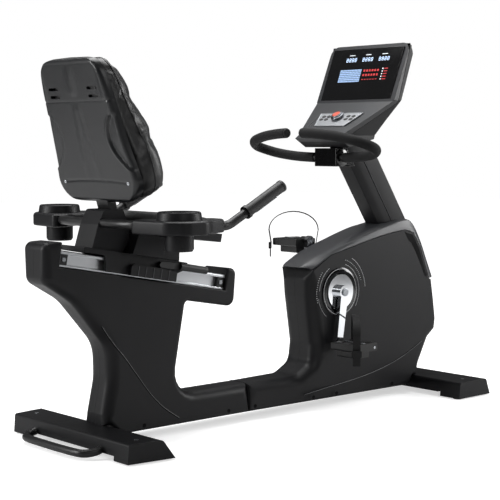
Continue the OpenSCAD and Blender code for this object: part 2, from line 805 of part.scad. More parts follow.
// Toe strap: an arch with a buckle and a loose end on the outside
module pedal_strap(side) {
    p = pedal_at(side);
    strap_w = 26;
    strap_t = 3;
    foot = -16;
    shoulder = 34;
    peak = 98;
    bulge = 8;
    steps = 14;
    reach = strap_half + bulge;
    arch = [for (i = [0:steps]) let (a = 180 * i / steps)
        [reach * cos(a), shoulder + (peak - shoulder) * sin(a)]];
    inner = concat([[strap_half, foot]], arch, [[-strap_half, foot]]);
    outer = concat([[-strap_half - strap_t, foot]],
        [for (i = [steps:-1:0]) arch[i] + strap_t * [cos(180 * i / steps), sin(180 * i / steps)]],
        [[strap_half + strap_t, foot]]);
    color([0.2, 0.2, 0.2]) on_side(side) on_strap(p) {
        translate([-strap_w / 2, 0, 0]) rotate([90, 0, 90]) linear_extrude(strap_w) polygon(concat(inner, outer));
        // Buckle and loose end
        translate([-17, strap_half + 1, foot - 18]) cube([34, 9, 22]);
        translate([-strap_w / 2, strap_half + 3, foot - 48]) cube([strap_w, strap_t, 34]);
    }
}

module pedal_left() {
    pedal(1);
}

module pedal_right() {
    pedal(-1);
}

module pedal_strap_left() {
    pedal_strap(1);
}

module pedal_strap_right() {
    pedal_strap(-1);
}

// ---- Seat carriage and seat ----
saddle_top = rail_h + 20.2;
saddle_side = [
    [-246, rail_h + 4, 3], [-165, rail_h + 4, 8], [-156, 4, 3], [113, 4, 3], [116, 30, 4],
    [160, rail_h + 4, 3], [150, rail_h + 20, 6], [-246, rail_h + 20, 3]
];

module carriage() {
    color([0.12, 0.12, 0.125]) on_rail() difference() {
        slab(rounded(saddle_side), -cheek_out, cheek_out);
        translate([-300, -cheek_in, -10]) cube([500, 2 * cheek_in, rail_h + 12]);
        translate([-235, -45, rail_h + 1]) cube([370, 90, 13]);
    }
    // Roller axles
    color("silver") on_rail() both_sides() for (u = [front_roller_u, rear_roller_u])
        rod_y(u, roller_n, 4, rail_half_w - 12.5, cheek_in + 1);
    // Lock housing on the right
    color([0.12, 0.12, 0.125]) on_rail() slab(rounded([[-74, 3, 3], [104, 3, 3], [104, 34, 3],
        [40, 38, 6], [-66, 38, 8], [-74, 30, 3]]), -cheek_out - 15, -cheek_out + 1);
}

module rollers(u) {
    color([0.8, 0.8, 0.78]) on_rail() both_sides() difference() {
        rod_y(u, roller_n, roller_r, rail_half_w - 12.2, rail_half_w - 12.2 + roller_w);
        rod_y(u, roller_n, 4 + running, rail_half_w - 14, rail_half_w);
    }
}

module front_rollers() {
    rollers(front_roller_u);
}

module rear_rollers() {
    rollers(rear_roller_u);
}

module seat_lever() {
    grip_r = 12;
    pivot_u = 44;
    lever_n = 52;
    y_in = cheek_out + 1;
    y_mid = cheek_out + 14;
    color([0.1, 0.1, 0.1]) on_rail() {
        slab(rounded([[pivot_u - 12, lever_n - 12, 8], [116, lever_n - 10, 4], [116, lever_n + 10, 4],
            [pivot_u - 12, lever_n + 6, 8]]), -y_in - 14, -y_in);
        translate([110, -y_mid, lever_n]) rotate([0, 90, 0]) cylinder(r = grip_r, h = 108);
    }
}

module seat_bracket() {
    half = 46;
    outline = [
        rail_corner(-208, saddle_top, 0), rail_corner(-96, saddle_top, 0),
        [-560, 622, 10], [-560, 660, 20], [-584, 716, 6], [-652, 716, 10], [-676, 672, 20]
    ];
    color([0.13, 0.13, 0.135]) difference() {
        slab(rounded(outline), -half, half);
        slab(rounded(inset(outline, 5)), -half + 5, half - 5);
        rod_y(cross_x, arm_z, arm_d / 2 + 0.4, -half - 1, half + 1);
        on_back() translate([-20, -31, -50]) cube([36, 62, 80]);
    }
}

back_foot = [-612, 738];
module on_back() {
    translate([back_foot.x, 0, back_foot.y]) rotate([0, -back_lean, 0]) children();
}

module backrest_post() {
    color([0.1, 0.1, 0.1]) on_back() {
        translate([-16, -30, -46]) cube([30, 60, 44]);
        translate([-16, -30, -3]) cube([14, 60, 24]);
        translate([-10, -30, 20]) cube([8, 60, 220]);
    }
}

// Half widths of the backrest shell and pad, from the foot upwards
shell_half = [
    [0, 0, 0], [128, 0, 40], [207, 58, 45], [180, 205, 300], [164, 300, 200], [132, 395, 70], [98, 446, 34],
    [0, 446, 0]
];
pad_half = [
    [0, 0, 0], [122, 0, 40], [206, 50, 40], [213, 118, 60], [188, 215, 200], [166, 300, 200], [134, 395, 70],
    [100, 446, 36], [0, 446, 0]
];
back_len = 446;
function back_shape(half, d) =
    let (h = rounded(half))
    concat([for (p = h) [max(p.x - d, 0), min(max(p.y, d), back_len - d)]],
        [for (i = [len(h) - 2:-1:1]) [-max(h[i].x - d, 0), min(max(h[i].y, d), back_len - d)]]);

// Layer standing in the reclined plane, from t0 to t1 ahead of it, between two heights
module back_layer(half, d, t0, t1, s0 = 0, s1 = back_len) {
    on_back() intersection() {
        translate([t0, 0, 0]) rotate([90, 0, 90]) linear_extrude(t1 - t0) polygon(back_shape(half, d));
        translate([t0 - 1, -300, s0]) cube([t1 - t0 + 2, 600, s1 - s0]);
    }
}

module backrest_shell() {
    color([0.16, 0.16, 0.165]) difference() {
        union() {
            back_layer(shell_half, 0, -6, 4);
            back_layer(shell_half, 5, -14, -5);
            back_layer(shell_half, 12, -20, -13);
        }
        back_layer(shell_half, 4, -3, 5);
        back_layer(shell_half, 10, -10, -2);
        back_layer(shell_half, 18, -16, -9);
        on_back() translate([-16.4, -31, -60]) cube([40, 62, 84]);
        // Ventilation slots
        on_back() both_sides() for (s = [328, 354])
            translate([-40, 76, s]) cube([30, 46, 8]);
    }
}

module backrest_pad() {
    color([0.08, 0.08, 0.08]) {
        back_layer(pad_half, 8, 4.4, 17);
        back_layer(pad_half, 0, 16, 62);
        back_layer(pad_half, 8, 60, 84, 0, 372);
        back_layer(pad_half, 16, 80, 104, 6, 240);
    }
}

cross_x = -657;
arm_z = 676;
// The tube passes inboard of the cup well
arm_path = spline([[cross_x, 0, arm_z], [cross_x, 70, arm_z], [cross_x + 2, 150, arm_z], [-636, 205, arm_z],
    [-600, 236, arm_z - 2], [-552, 250, arm_z - 4], [-500, 274, arm_z - 5], [-455, 299, arm_z - 6],
    [-420, arm_y, arm_z - 7], [-388, arm_y, arm_z - 4], [-350, arm_y, 690], [-250, arm_y, 742],
    [-180, arm_y, 779]], 2);

module side_arm_tube() {
    full = concat([for (i = [len(arm_path) - 1:-1:1]) [arm_path[i].x, -arm_path[i].y, arm_path[i].z]], arm_path);
    color([0.1, 0.1, 0.1]) sweep(full, arm_d / 2, arm_d / 2 - 2);
}

grip_low = [-322, 0, 704.6];
grip_rise = 27.5;
module on_grip() {
    translate([grip_low.x, arm_y, grip_low.z]) rotate([0, 90 - grip_rise, 0]) children();
}

module side_grips() {
    grip_l = 162;
    color([0.07, 0.07, 0.07]) both_sides() on_grip() difference() {
        union() {
            cylinder(r = 21, h = 12);
            translate([0, 0, 12]) cylinder(r = 18, h = grip_l - 12);
            translate([0, 0, grip_l]) cylinder(r = 19, h = 8);
        }
        translate([0, 0, -1]) cylinder(r = arm_d / 2 + 0.9, h = grip_l + 2);
        translate([14.5, -9, 34]) cube([20, 18, 96]);
    }
}

module pulse_plates() {
    color([0.8, 0.8, 0.8]) both_sides() on_grip()
        translate([15.3, -8.4, 35]) cube([3.4, 16.8, 94]);
}

cup_x = -576;
cup_r = 41;
tray_top = 694;
tray_z0 = 652;
ring_top = 718;

module cup_tray(side) {
    cup_floor = 602;
    arm_clear = arm_d / 2 + 0.8;
    color([0.11, 0.11, 0.115]) on_side(side) difference() {
        union() {
            translate([cup_x, arm_y + 10, tray_z0]) cylinder(r = 76, h = tray_top - tray_z0);
            translate([0, 0, tray_z0]) linear_extrude(tray_top - tray_z0 - 4)
                polygon(rounded([[-672, 196, 16], [-622, 192, 12], [-586, 214, 20], [-500, 236, 30], [-424, 278, 10],
                    [-424, 338, 14], [-520, 376, 20], [-620, 364, 30], [-664, 290, 30]]));
            translate([cup_x, arm_y, tray_top]) cylinder(r1 = 70, r2 = 62, h = ring_top - tray_top);
            translate([cup_x, arm_y, cup_floor]) cylinder(r = cup_r + 1.5, h = tray_top - cup_floor);
        }
        translate([cup_x, arm_y, cup_floor + 3]) cylinder(r = cup_r - 1.5, h = 200);
        translate([cup_x, arm_y, tray_top + 12]) cylinder(r = 54, h = 40);
        // Channel for the arm tube, which runs in below the tray's top
        sweep(arm_path, arm_clear);
    }
}

module cup_tray_left() {
    cup_tray(1);
}

module cup_tray_right() {
    cup_tray(-1);
}

module seat_pan() {
    color([0.13, 0.13, 0.135]) difference() {
        union() {
            slab([[-557, 644], [-322, 610], [-316, 636], [-557, 652]], -196, 196);
            // Deep box under the pan, narrower ahead of the lever's pivot
            slab([[-550, 640], rail_pt(-82, saddle_top), rail_pt(40, saddle_top), [-446, 640]], -80, 80);
            slab([[-548, 640], rail_pt(-80, saddle_top), rail_pt(120, saddle_top), [-372, 612], [-400, 640]],
                -57, 57);
        }
        slab([[-553, 642], [-330, 612], [-400, 655], [-553, 655]], -190, 190);
    }
}

module seat_pad() {
    color([0.08, 0.08, 0.08]) slab(rounded([[-556, 653, 10], [-318, 637.5, 14], [-306, 676, 16],
        [-440, 690, 60], [-556, 700, 16]]), -205, 205);
}

main_beam();
seat_post();
rail_bed();
front_frame();
rear_stabiliser_tube();
front_stabiliser_tube();
rear_stabiliser_cover();
front_stabiliser_cover();
floor_feet();
wheel_axles();
lift_handle();
column_cover_left();
column_cover_right();
seat_rail();
rail_end_stops();
rail_bolts();
shroud_left();
shroud_right();
shroud_top_cover();
crank_surrounds();
mast_cover();
console_housing();
console_bezel();
display_glass();
deck_plate();
handlebar_tube();
handlebar_grips();
handlebar_clamp_cover();
bearings();
magnet_brake();
drive_belt();
crank_axle();
drive_pulley();
crank_arms();
crank_bolts();
pedal_spindles();
flywheel();
pedal_left();
pedal_right();
pedal_strap_left();
pedal_strap_right();
carriage();
seat_bracket();
backrest_post();
side_arm_tube();
cup_tray_left();
cup_tray_right();
side_grips();
pulse_plates();
seat_pan();
seat_pad();
backrest_shell();
backrest_pad();
front_rollers();
rear_rollers();
seat_lever();
transport_wheel(1);  // transport_wheel_left
transport_wheel(-1);  // transport_wheel_right
console_knob();
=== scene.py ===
"""Looks of a recumbent exercise bike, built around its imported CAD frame.

Lengths in this file are millimetres in the row frame (X forward, Y to the rider's left, Z up)
and turn into metres when a mesh is made. Each sub-assembly is a class that builds its own
pieces and says which CAD nodes they stand for; the nodes that stay get a finish only.
"""

import logging
import math
from abc import ABC, abstractmethod
from dataclasses import dataclass, field
from enum import Enum
from typing import Callable, Iterable, Sequence

import bmesh
import bpy
from mathutils import Matrix, Vector


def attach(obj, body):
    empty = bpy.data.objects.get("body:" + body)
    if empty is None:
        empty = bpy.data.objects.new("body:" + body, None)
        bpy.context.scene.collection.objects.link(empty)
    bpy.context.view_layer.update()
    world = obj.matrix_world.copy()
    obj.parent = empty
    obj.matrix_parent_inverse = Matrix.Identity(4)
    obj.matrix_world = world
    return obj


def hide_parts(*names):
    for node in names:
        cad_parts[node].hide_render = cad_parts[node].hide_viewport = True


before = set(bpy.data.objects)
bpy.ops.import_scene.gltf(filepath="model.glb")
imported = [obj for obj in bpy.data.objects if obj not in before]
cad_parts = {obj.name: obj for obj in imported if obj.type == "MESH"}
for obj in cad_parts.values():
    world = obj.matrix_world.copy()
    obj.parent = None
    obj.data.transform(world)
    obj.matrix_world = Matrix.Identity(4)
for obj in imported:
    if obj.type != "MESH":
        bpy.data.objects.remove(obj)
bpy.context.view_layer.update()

LOG = logging.getLogger("bike")
MM = 0.001
SIDES = (-1, 1)
SIDE_NAME = {-1: "right", 1: "left"}

Point = Sequence[float]
Object = bpy.types.Object
Mesh = bpy.types.Mesh
Material = bpy.types.Material
Tree = bpy.types.NodeTree
Node = bpy.types.Node
Socket = bpy.types.NodeSocket


# ---------------------------------------------------------------- colour and node helpers
def srgb(code: str) -> tuple[float, float, float, float]:
    """Linear colour of an sRGB hex code.

    Args:
        code: Six hex digits with a leading hash.

    Returns:
        Linear red, green, blue and an alpha of one.
    """
    channels = [int(code[i : i + 2], 16) / 255 for i in (1, 3, 5)]
    linear = [c / 12.92 if c <= 0.04045 else ((c + 0.055) / 1.055) ** 2.4 for c in channels]
    return (*linear, 1.0)


def add_node(tree: Tree, kind: str, inputs: dict | None = None, **settings) -> Node:
    """Adds a node and sets it up.

    Args:
        tree: Tree the node goes into.
        kind: Node type identifier.
        inputs: Socket name or index to a value, or to an output socket to link.
        **settings: Node properties.

    Returns:
        The new node.
    """
    node = tree.nodes.new(kind)
    for key, value in settings.items():
        setattr(node, key, value)
    for key, value in (inputs or {}).items():
        if isinstance(value, Socket):
            tree.links.new(value, node.inputs[key])
        else:
            node.inputs[key].default_value = value
    return node


class Slot(Enum):
    """Material slots of the record."""

    FRAME = "frame_paint"
    COVER = "cover_plastic"
    TOP_COVER = "top_cover_plastic"
    SHELL = "shell_plastic"
    BEZEL = "bezel_plastic"
    SMALL = "small_plastic"
    GLOSS = "gloss_black"
    DECK = "deck_silver"
    KNOB = "knob"
    ROLLER = "roller_plastic"
    ALUMINIUM = "aluminium"
    STEEL = "steel"
    CHROME = "chrome"
    IRON = "iron"
    RUBBER = "rubber"
    FOAM = "foam"
    VINYL = "vinyl"


# ---------------------------------------------------------------- finishes
@dataclass(frozen=True)
class Finish(ABC):
    """Surface finish that makes one procedural material.

    Attributes:
        name: Name of the real material.
        slot: The record's slot the finish belongs to; not used.
        colour: Base colour as sRGB hex.
        roughness: Mean roughness.
    """

    name: str
    slot: Slot
    colour: str
    roughness: float

    def material(self) -> Material:
        """Returns the finish's material, made on first use."""
        found = bpy.data.materials.get(self.name)
        if found:
            return found
        mat = bpy.data.materials.new(self.name)
        mat.use_nodes = True
        tree = mat.node_tree
        tree.nodes.clear()
        shader = add_node(tree, "ShaderNodeBsdfPrincipled")
        coords = add_node(tree, "ShaderNodeTexCoord").outputs["Object"]
        self.shade(tree, shader, coords)
        add_node(tree, "ShaderNodeOutputMaterial", {"Surface": shader.outputs[0]})
        return mat

    @abstractmethod
    def shade(self, tree: Tree, shader: Node, coords: Socket) -> None:
        """Wires the finish's pattern into the shader."""

    def noise(
        self, tree: Tree, coords: Socket, size_mm: float, stretch: Point = (1, 1, 1), detail: float = 2.0
    ) -> Socket:
        """Noise value whose features are about size_mm across, stretched along an axis.

        Args:
            tree: Material's tree.
            coords: Coordinates the noise is laid out in.
            size_mm: Size of a feature.
            stretch: Scale along each axis; small values draw features out.
            detail: Octaves of finer noise.

        Returns:
            The noise node's value socket.
        """
        scaled = add_node(tree, "ShaderNodeMapping", {"Vector": coords, "Scale": stretch})
        node = add_node(
            tree,
            "ShaderNodeTexNoise",
            {"Vector": scaled.outputs[0], "Scale": 1 / (size_mm * MM), "Detail": detail},
        )
        return node.outputs[0]

    def spread(self, tree: Tree, value: Socket, low: float, high: float) -> Socket:
        """Maps a nought-to-one value onto low to high."""
        node = add_node(tree, "ShaderNodeMapRange", {"Value": value, "To Min": low, "To Max": high})
        return node.outputs[0]

    def tinted(self, tree: Tree, value: Socket, amount: float) -> Socket:
        """Base colour that varies in brightness with a nought-to-one value."""
        base = srgb(self.colour)
        dark = tuple(c * (1 - amount) for c in base[:3]) + (1,)
        light = tuple(min(c * (1 + amount), 1) for c in base[:3]) + (1,)
        mix = add_node(tree, "ShaderNodeMix", {"Factor": value}, data_type="RGBA")
        mix.inputs[6].default_value = dark
        mix.inputs[7].default_value = light
        return mix.outputs[2]

    def bumped(
        self, tree: Tree, shader: Node, height: Socket, depth_mm: float, strength: float = 1.0
    ) -> None:
        """Raises the shader's normal by a height of depth_mm."""
        values = {"Height": height, "Distance": depth_mm * MM, "Strength": strength}
        bump = add_node(tree, "ShaderNodeBump", values)
        tree.links.new(bump.outputs[0], shader.inputs["Normal"])


@dataclass(frozen=True)
class Plastic(Finish):
    """Moulded plastic with a fine spark-eroded grain.

    Attributes:
        grain_mm: Size of the grain.
        grain_depth: Depth of the grain in millimetres.
        gloss: Specular level of the skin.
        mottle: How far the colour wanders.
    """

    grain_mm: float = 0.9
    grain_depth: float = 0.03
    gloss: float = 0.42
    mottle: float = 0.1

    def shade(self, tree: Tree, shader: Node, coords: Socket) -> None:
        """Fine grain in the normal, slow patches in colour and roughness."""
        patches = self.noise(tree, coords, 60)
        tree.links.new(self.tinted(tree, patches, self.mottle), shader.inputs["Base Color"])
        tree.links.new(
            self.spread(tree, patches, self.roughness - 0.05, self.roughness + 0.05),
            shader.inputs["Roughness"],
        )
        shader.inputs["Specular IOR Level"].default_value = self.gloss
        self.bumped(tree, shader, self.noise(tree, coords, self.grain_mm), self.grain_depth)


@dataclass(frozen=True)
class Metal(Finish):
    """Bare or polished metal with drawn or turned streaks.

    Attributes:
        streak: Stretch of the streaks along each axis; small values run long.
        streak_mm: Width of a streak.
        streak_depth: Depth of a streak in millimetres.
        wander: How far the roughness wanders.
    """

    streak: tuple[float, float, float] = (1, 1, 1)
    streak_mm: float = 1.2
    streak_depth: float = 0.02
    wander: float = 0.06

    def shade(self, tree: Tree, shader: Node, coords: Socket) -> None:
        """Streaks in the normal and the roughness."""
        lines = self.noise(tree, coords, self.streak_mm, self.streak, 3.0)
        tree.links.new(self.tinted(tree, lines, 0.06), shader.inputs["Base Color"])
        tree.links.new(
            self.spread(tree, lines, max(self.roughness - self.wander, 0.02), self.roughness + self.wander),
            shader.inputs["Roughness"],
        )
        shader.inputs["Metallic"].default_value = 1.0
        self.bumped(tree, shader, lines, self.streak_depth, 0.6)


@dataclass(frozen=True)
class Vinyl(Finish):
    """Upholstery vinyl with a leather grain of small cells.

    Attributes:
        cell_mm: Size of a grain cell.
        depth: Depth of the grain in millimetres.
    """

    cell_mm: float = 3.2
    depth: float = 0.22

    def shade(self, tree: Tree, shader: Node, coords: Socket) -> None:
        """Cells between fine creases, softened by a slow wrinkle."""
        cells = add_node(
            tree,
            "ShaderNodeTexVoronoi",
            {"Vector": coords, "Scale": 1 / (self.cell_mm * MM)},
            feature="DISTANCE_TO_EDGE",
        )
        crease = add_node(
            tree, "ShaderNodeMapRange", {"Value": cells.outputs[0], "From Max": 0.22, "To Max": 1.0}
        ).outputs[0]
        slow = self.noise(tree, coords, 14)
        height = add_node(tree, "ShaderNodeMath", {0: crease, 1: slow}, operation="MULTIPLY").outputs[0]
        tree.links.new(self.tinted(tree, slow, 0.16), shader.inputs["Base Color"])
        tree.links.new(
            self.spread(tree, crease, self.roughness + 0.12, self.roughness - 0.04),
            shader.inputs["Roughness"],
        )
        shader.inputs["Specular IOR Level"].default_value = 0.5
        self.bumped(tree, shader, height, self.depth, 0.7)


@dataclass(frozen=True)
class Foam(Finish):
    """Closed-cell foam or tyre rubber with an open, dull skin.

    Attributes:
        pore_mm: Size of the pores.
        depth: Depth of the pores in millimetres.
    """

    pore_mm: float = 1.0
    depth: float = 0.12

    def shade(self, tree: Tree, shader: Node, coords: Socket) -> None:
        """Pores in the normal and the colour."""
        pores = self.noise(tree, coords, self.pore_mm, detail=4.0)
        tree.links.new(self.tinted(tree, pores, 0.25), shader.inputs["Base Color"])
        tree.links.new(
            self.spread(tree, pores, self.roughness - 0.06, self.roughness + 0.06),
            shader.inputs["Roughness"],
        )
        shader.inputs["Specular IOR Level"].default_value = 0.3
        self.bumped(tree, shader, pores, self.depth)


@dataclass(frozen=True)
class Lit(Finish):
    """Lit element of the display.

    Attributes:
        glow: Emission strength.
    """

    glow: float = 1.0

    def shade(self, tree: Tree, shader: Node, coords: Socket) -> None:
        """Glow with a slight unevenness over each element."""
        uneven = self.noise(tree, coords, 3)
        colour = self.tinted(tree, uneven, 0.12)
        tree.links.new(colour, shader.inputs["Base Color"])
        tree.links.new(colour, shader.inputs["Emission Color"])
        shader.inputs["Emission Strength"].default_value = self.glow
        shader.inputs["Roughness"].default_value = self.roughness


@dataclass(frozen=True)
class Paper(Finish):
    """Seamless studio paper, lit up behind so that it fades into the surroundings.

    Attributes:
        glow: Light of its own near the machine, which evens the paper out.
        horizon: Light of its own far away, where the paper meets the surroundings.
        near: Distance in metres where the glow starts to rise.
        far: Distance in metres where it has reached the horizon's.
    """

    glow: float = 0.8
    horizon: float = 1.4
    near: float = 1.3
    far: float = 4.5

    def shade(self, tree: Tree, shader: Node, coords: Socket) -> None:
        """Faint tooth and a glow that only the camera sees."""
        tooth = self.noise(tree, coords, 4)
        colour = self.tinted(tree, tooth, 0.01)
        tree.links.new(colour, shader.inputs["Base Color"])
        tree.links.new(colour, shader.inputs["Emission Color"])
        seen = add_node(tree, "ShaderNodeLightPath").outputs["Is Camera Ray"]
        away = add_node(tree, "ShaderNodeVectorMath", {0: coords}, operation="LENGTH").outputs["Value"]
        span = {"Value": away, "From Min": self.near, "From Max": self.far}
        span |= {"To Min": self.glow, "To Max": self.horizon}
        fade = add_node(tree, "ShaderNodeMapRange", span).outputs[0]
        level = add_node(tree, "ShaderNodeMath", {0: fade, 1: seen}, operation="MULTIPLY").outputs[0]
        tree.links.new(level, shader.inputs["Emission Strength"])
        shader.inputs["Roughness"].default_value = self.roughness
        shader.inputs["Specular IOR Level"].default_value = 0.1


# Satin black paint: deep black that keeps a soft edge highlight
PAINT = Plastic("satin_black_paint", Slot.FRAME, "#0d0d0e", 0.38, grain_mm=1.6, grain_depth=0.02, gloss=0.4)
# Moulded cover: the broad matte blacks of housing, base and shroud
COVER = Plastic(
    "textured_black_abs", Slot.COVER, "#0f0f11", 0.44, grain_mm=0.9, grain_depth=0.035, gloss=0.22
)
# Top cover: its own dark grey, made a shade greyer still as painted light, so the chamfer reads as the
# lighter band that light from above gives
TOP_COVER = Plastic(
    "dark_grey_abs", Slot.TOP_COVER, "#2a2b2e", 0.4, grain_mm=0.9, grain_depth=0.03, gloss=0.55
)
# Backrest shell: smoother moulding with a faint sheen
SHELL = Plastic(
    "satin_shell_polypropylene", Slot.SHELL, "#141517", 0.33, grain_mm=1.4, grain_depth=0.02, gloss=0.42
)
# Bezel: neutral grey against the black housing
BEZEL = Plastic("grey_bezel_abs", Slot.BEZEL, "#1c1d20", 0.4, grain_mm=0.8, grain_depth=0.02, gloss=0.4)
# Small fittings: drier black
SMALL = Plastic("black_nylon", Slot.SMALL, "#0a0a0b", 0.46, grain_mm=0.7, grain_depth=0.04)
# High-gloss trim and glass: mirrors the studio
GLOSS = Plastic("piano_black_acrylic", Slot.GLOSS, "#050506", 0.09, grain_mm=30, grain_depth=0.02, gloss=0.6)
# Painted shade of shut lines, creases, plug holes and deep gaps: black tubes and discs laid on the covers,
# where no light comes back
SEAM_SHADE = Plastic("shut_line_black", Slot.COVER, "#040405", 0.8, gloss=0.1)
# Painted highlight of a shut-line edge: the thin bright line beside a step
EDGE = Plastic("worn_edge_grey", Slot.COVER, "#3a3b3e", 0.35, gloss=0.6)
# Printed ring on the drive cover
PRINT = Plastic("white_screen_print", Slot.COVER, "#c9cacc", 0.5, mottle=0.05)
# Silver coating of the control plate, brushed across
DECK = Metal("silver_coated_plate", Slot.DECK, "#a9abae", 0.34, streak=(0.05, 1, 0.05), streak_mm=0.7)
# Dark chrome plating of the knob
KNOB = Metal("satin_dark_chrome", Slot.KNOB, "#6d6f73", 0.22, streak_mm=2.0)
# Salmon-red start button
RED = Plastic("red_polycarbonate", Slot.KNOB, "#b8452f", 0.3, grain_mm=6, gloss=0.6)
# Acetal of the seat rollers: the one pale plastic
ROLLER = Plastic("white_acetal", Slot.ROLLER, "#c4c3bd", 0.35, grain_mm=2)
# Drawn aluminium: streaks run down the rail
ALUMINIUM = Metal("drawn_aluminium", Slot.ALUMINIUM, "#d2d4d7", 0.3, streak=(0.02, 1, 1), streak_mm=0.8)
# Zinc plating of bolts and shafts
STEEL = Metal("zinc_plated_steel", Slot.STEEL, "#a2a5a9", 0.28, streak_mm=2.5)
# Polished chrome of the cranks and the pulse sensors
CHROME = Metal("polished_chrome", Slot.CHROME, "#e2e4e7", 0.07, streak_mm=12, streak_depth=0.01, wander=0.03)
# Turned iron of the flywheel and the brake: rings round the axis
IRON = Metal("turned_cast_iron", Slot.IRON, "#4b4c4f", 0.45, streak=(1, 0.1, 1), streak_mm=2)
# Solid rubber of feet, tyres and belt
RUBBER = Foam("moulded_rubber", Slot.RUBBER, "#09090a", 0.7, pore_mm=1.4, depth=0.06)
# Handlebar foam: dull, with open pores
FOAM = Foam("nitrile_foam", Slot.FOAM, "#09090a", 0.8, pore_mm=0.9, depth=0.16)
# Upholstery vinyl of both cushions
VINYL = Vinyl("black_leather_grain_vinyl", Slot.VINYL, "#0c0c0d", 0.38)
# Finer, slightly paler vinyl of the piping
PIPING = Vinyl("vinyl_piping", Slot.VINYL, "#131315", 0.36, cell_mm=1.8, depth=0.1)
# Lit parts of the display: number segments, matrix field, red and white indicators
LIT_BLUE = Lit("blue_white_segments", Slot.GLOSS, "#bcd2f2", 0.5, glow=1.2)
LIT_PANEL = Lit("blue_matrix_field", Slot.GLOSS, "#7d96b8", 0.5, glow=0.75)
LIT_RED = Lit("red_indicators", Slot.GLOSS, "#a81c20", 0.5, glow=0.7)
LIT_WHITE = Lit("white_indicators", Slot.GLOSS, "#d0d4da", 0.5, glow=0.8)

# Finish of each CAD node that has no finish from its sub-assembly
NODE_FINISH = {
    PAINT: (
        "main_beam seat_post rail_bed front_frame rear_stabiliser_tube front_stabiliser_tube handlebar_tube"
        " lift_handle backrest_post side_arm_tube"
    ),
    COVER: (
        "rear_stabiliser_cover front_stabiliser_cover column_cover_left column_cover_right shroud_left"
        " shroud_right mast_cover console_housing carriage seat_bracket cup_tray_left cup_tray_right seat_pan"
    ),
    TOP_COVER: "shroud_top_cover",
    SHELL: "backrest_shell",
    BEZEL: "console_bezel",
    SMALL: "rail_end_stops pedal_left pedal_right pedal_strap_left pedal_strap_right side_grips seat_lever",
    GLOSS: "crank_surrounds handlebar_clamp_cover display_glass",
    DECK: "deck_plate",
    KNOB: "console_knob",
    ROLLER: "front_rollers rear_rollers",
    ALUMINIUM: "seat_rail drive_pulley",
    STEEL: "rail_bolts wheel_axles bearings crank_axle crank_bolts pedal_spindles",
    CHROME: "crank_arms pulse_plates",
    IRON: "magnet_brake flywheel",
    RUBBER: "floor_feet drive_belt transport_wheel_left transport_wheel_right",
    FOAM: "handlebar_grips",
    VINYL: "seat_pad backrest_pad",
}


# ---------------------------------------------------------------- plane outlines
CORNER_STEPS = 6


def circle(radius: float, steps: int) -> list[tuple[float, float]]:
    """Points round a circle about the origin."""
    angles = (2 * math.pi * k / steps for k in range(steps))
    return [(radius * math.cos(a), radius * math.sin(a)) for a in angles]


def rounded(corners: Sequence[Point], steps: int = CORNER_STEPS) -> list[Vector]:
    """Outline whose corners (a, b, radius) are rounded.

    Args:
        corners: Corner positions with a radius each.
        steps: Segments of each corner arc.

    Returns:
        Points of the outline; their number depends only on which radii are nought.
    """
    outline = []
    count = len(corners)
    for i, (a, b, radius, *_) in enumerate(corners):
        here = Vector((a, b))
        if radius <= 0:
            outline.append(here)
            continue
        back = (Vector(corners[i - 1][:2]) - here).normalized()
        ahead = (Vector(corners[(i + 1) % count][:2]) - here).normalized()
        bend = math.acos(max(-1.0, min(1.0, back.dot(ahead))))
        centre = here + (back + ahead).normalized() * (radius / math.sin(bend / 2))
        start = here + back * (radius / math.tan(bend / 2)) - centre
        end = here + ahead * (radius / math.tan(bend / 2)) - centre
        first = math.atan2(start.y, start.x)
        turn = (math.atan2(end.y, end.x) - first + 3 * math.pi) % (2 * math.pi) - math.pi
        for k in range(steps + 1):
            angle = first + turn * k / steps
            outline.append(centre + radius * Vector((math.cos(angle), math.sin(angle))))
    return outline


def inset(corners: Sequence[Point], depth: float | Sequence[float]) -> list[Point]:
    """The same corners moved in by depth, for an outline that runs anticlockwise.

    Args:
        corners: Corner positions with a radius each.
        depth: Distance moved inwards, for all corners or for each one.

    Returns:
        New corners with adjusted radii.
    """
    moved = []
    count = len(corners)
    depths = [depth] * count if isinstance(depth, (int, float)) else depth
    for i, (a, b, radius, *rest) in enumerate(corners):
        depth = depths[i]
        here = Vector((a, b))
        into = here - Vector(corners[i - 1][:2])
        out = Vector(corners[(i + 1) % count][:2]) - here
        n1 = Vector((-into.y, into.x)).normalized()
        n2 = Vector((-out.y, out.x)).normalized()
        middle = (n1 + n2).normalized()
        spot = here + middle * (depth / middle.dot(n1))
        convex = into.x * out.y - into.y * out.x > 0
        new_radius = 0 if radius == 0 else max(radius - depth, 1) if convex else radius + depth
        moved.append((spot.x, spot.y, new_radius, *rest))
    return moved


def spline(guides: Sequence[Point], steps: int = 6) -> list[Vector]:
    """Smooth path through guide points.

    Args:
        guides: Points the path passes.
        steps: Samples between two guides.

    Returns:
        Points along the path.
    """
    knots = [Vector(g) for g in guides]
    path = []
    for i in range(len(knots) - 1):
        p0, p1, p2 = knots[max(i - 1, 0)], knots[i], knots[i + 1]
        p3 = knots[min(i + 2, len(knots) - 1)]
        for k in range(steps):
            s = k / steps
            path.append(
                0.5
                * (
                    2 * p1
                    + (p2 - p0) * s
                    + (2 * p0 - 5 * p1 + 4 * p2 - p3) * s * s
                    + (3 * p1 - p0 - 3 * p2 + p3) * s * s * s
                )
            )
    return path + [knots[-1]]


def mirrored(path: Sequence[Point]) -> list[Vector]:
    """A path from the middle plane outwards, joined to its mirror image on the right."""
    left = [Vector(p) for p in path]
    return [Vector((p.x, -p.y, p.z)) for p in reversed(left[1:])] + left


def blend01(low: float, high: float, value: float) -> float:
    """Smooth rise from nought at low to one at high."""
    t = max(0.0, min(1.0, (value - low) / (high - low)))
    return t * t * (3 - 2 * t)


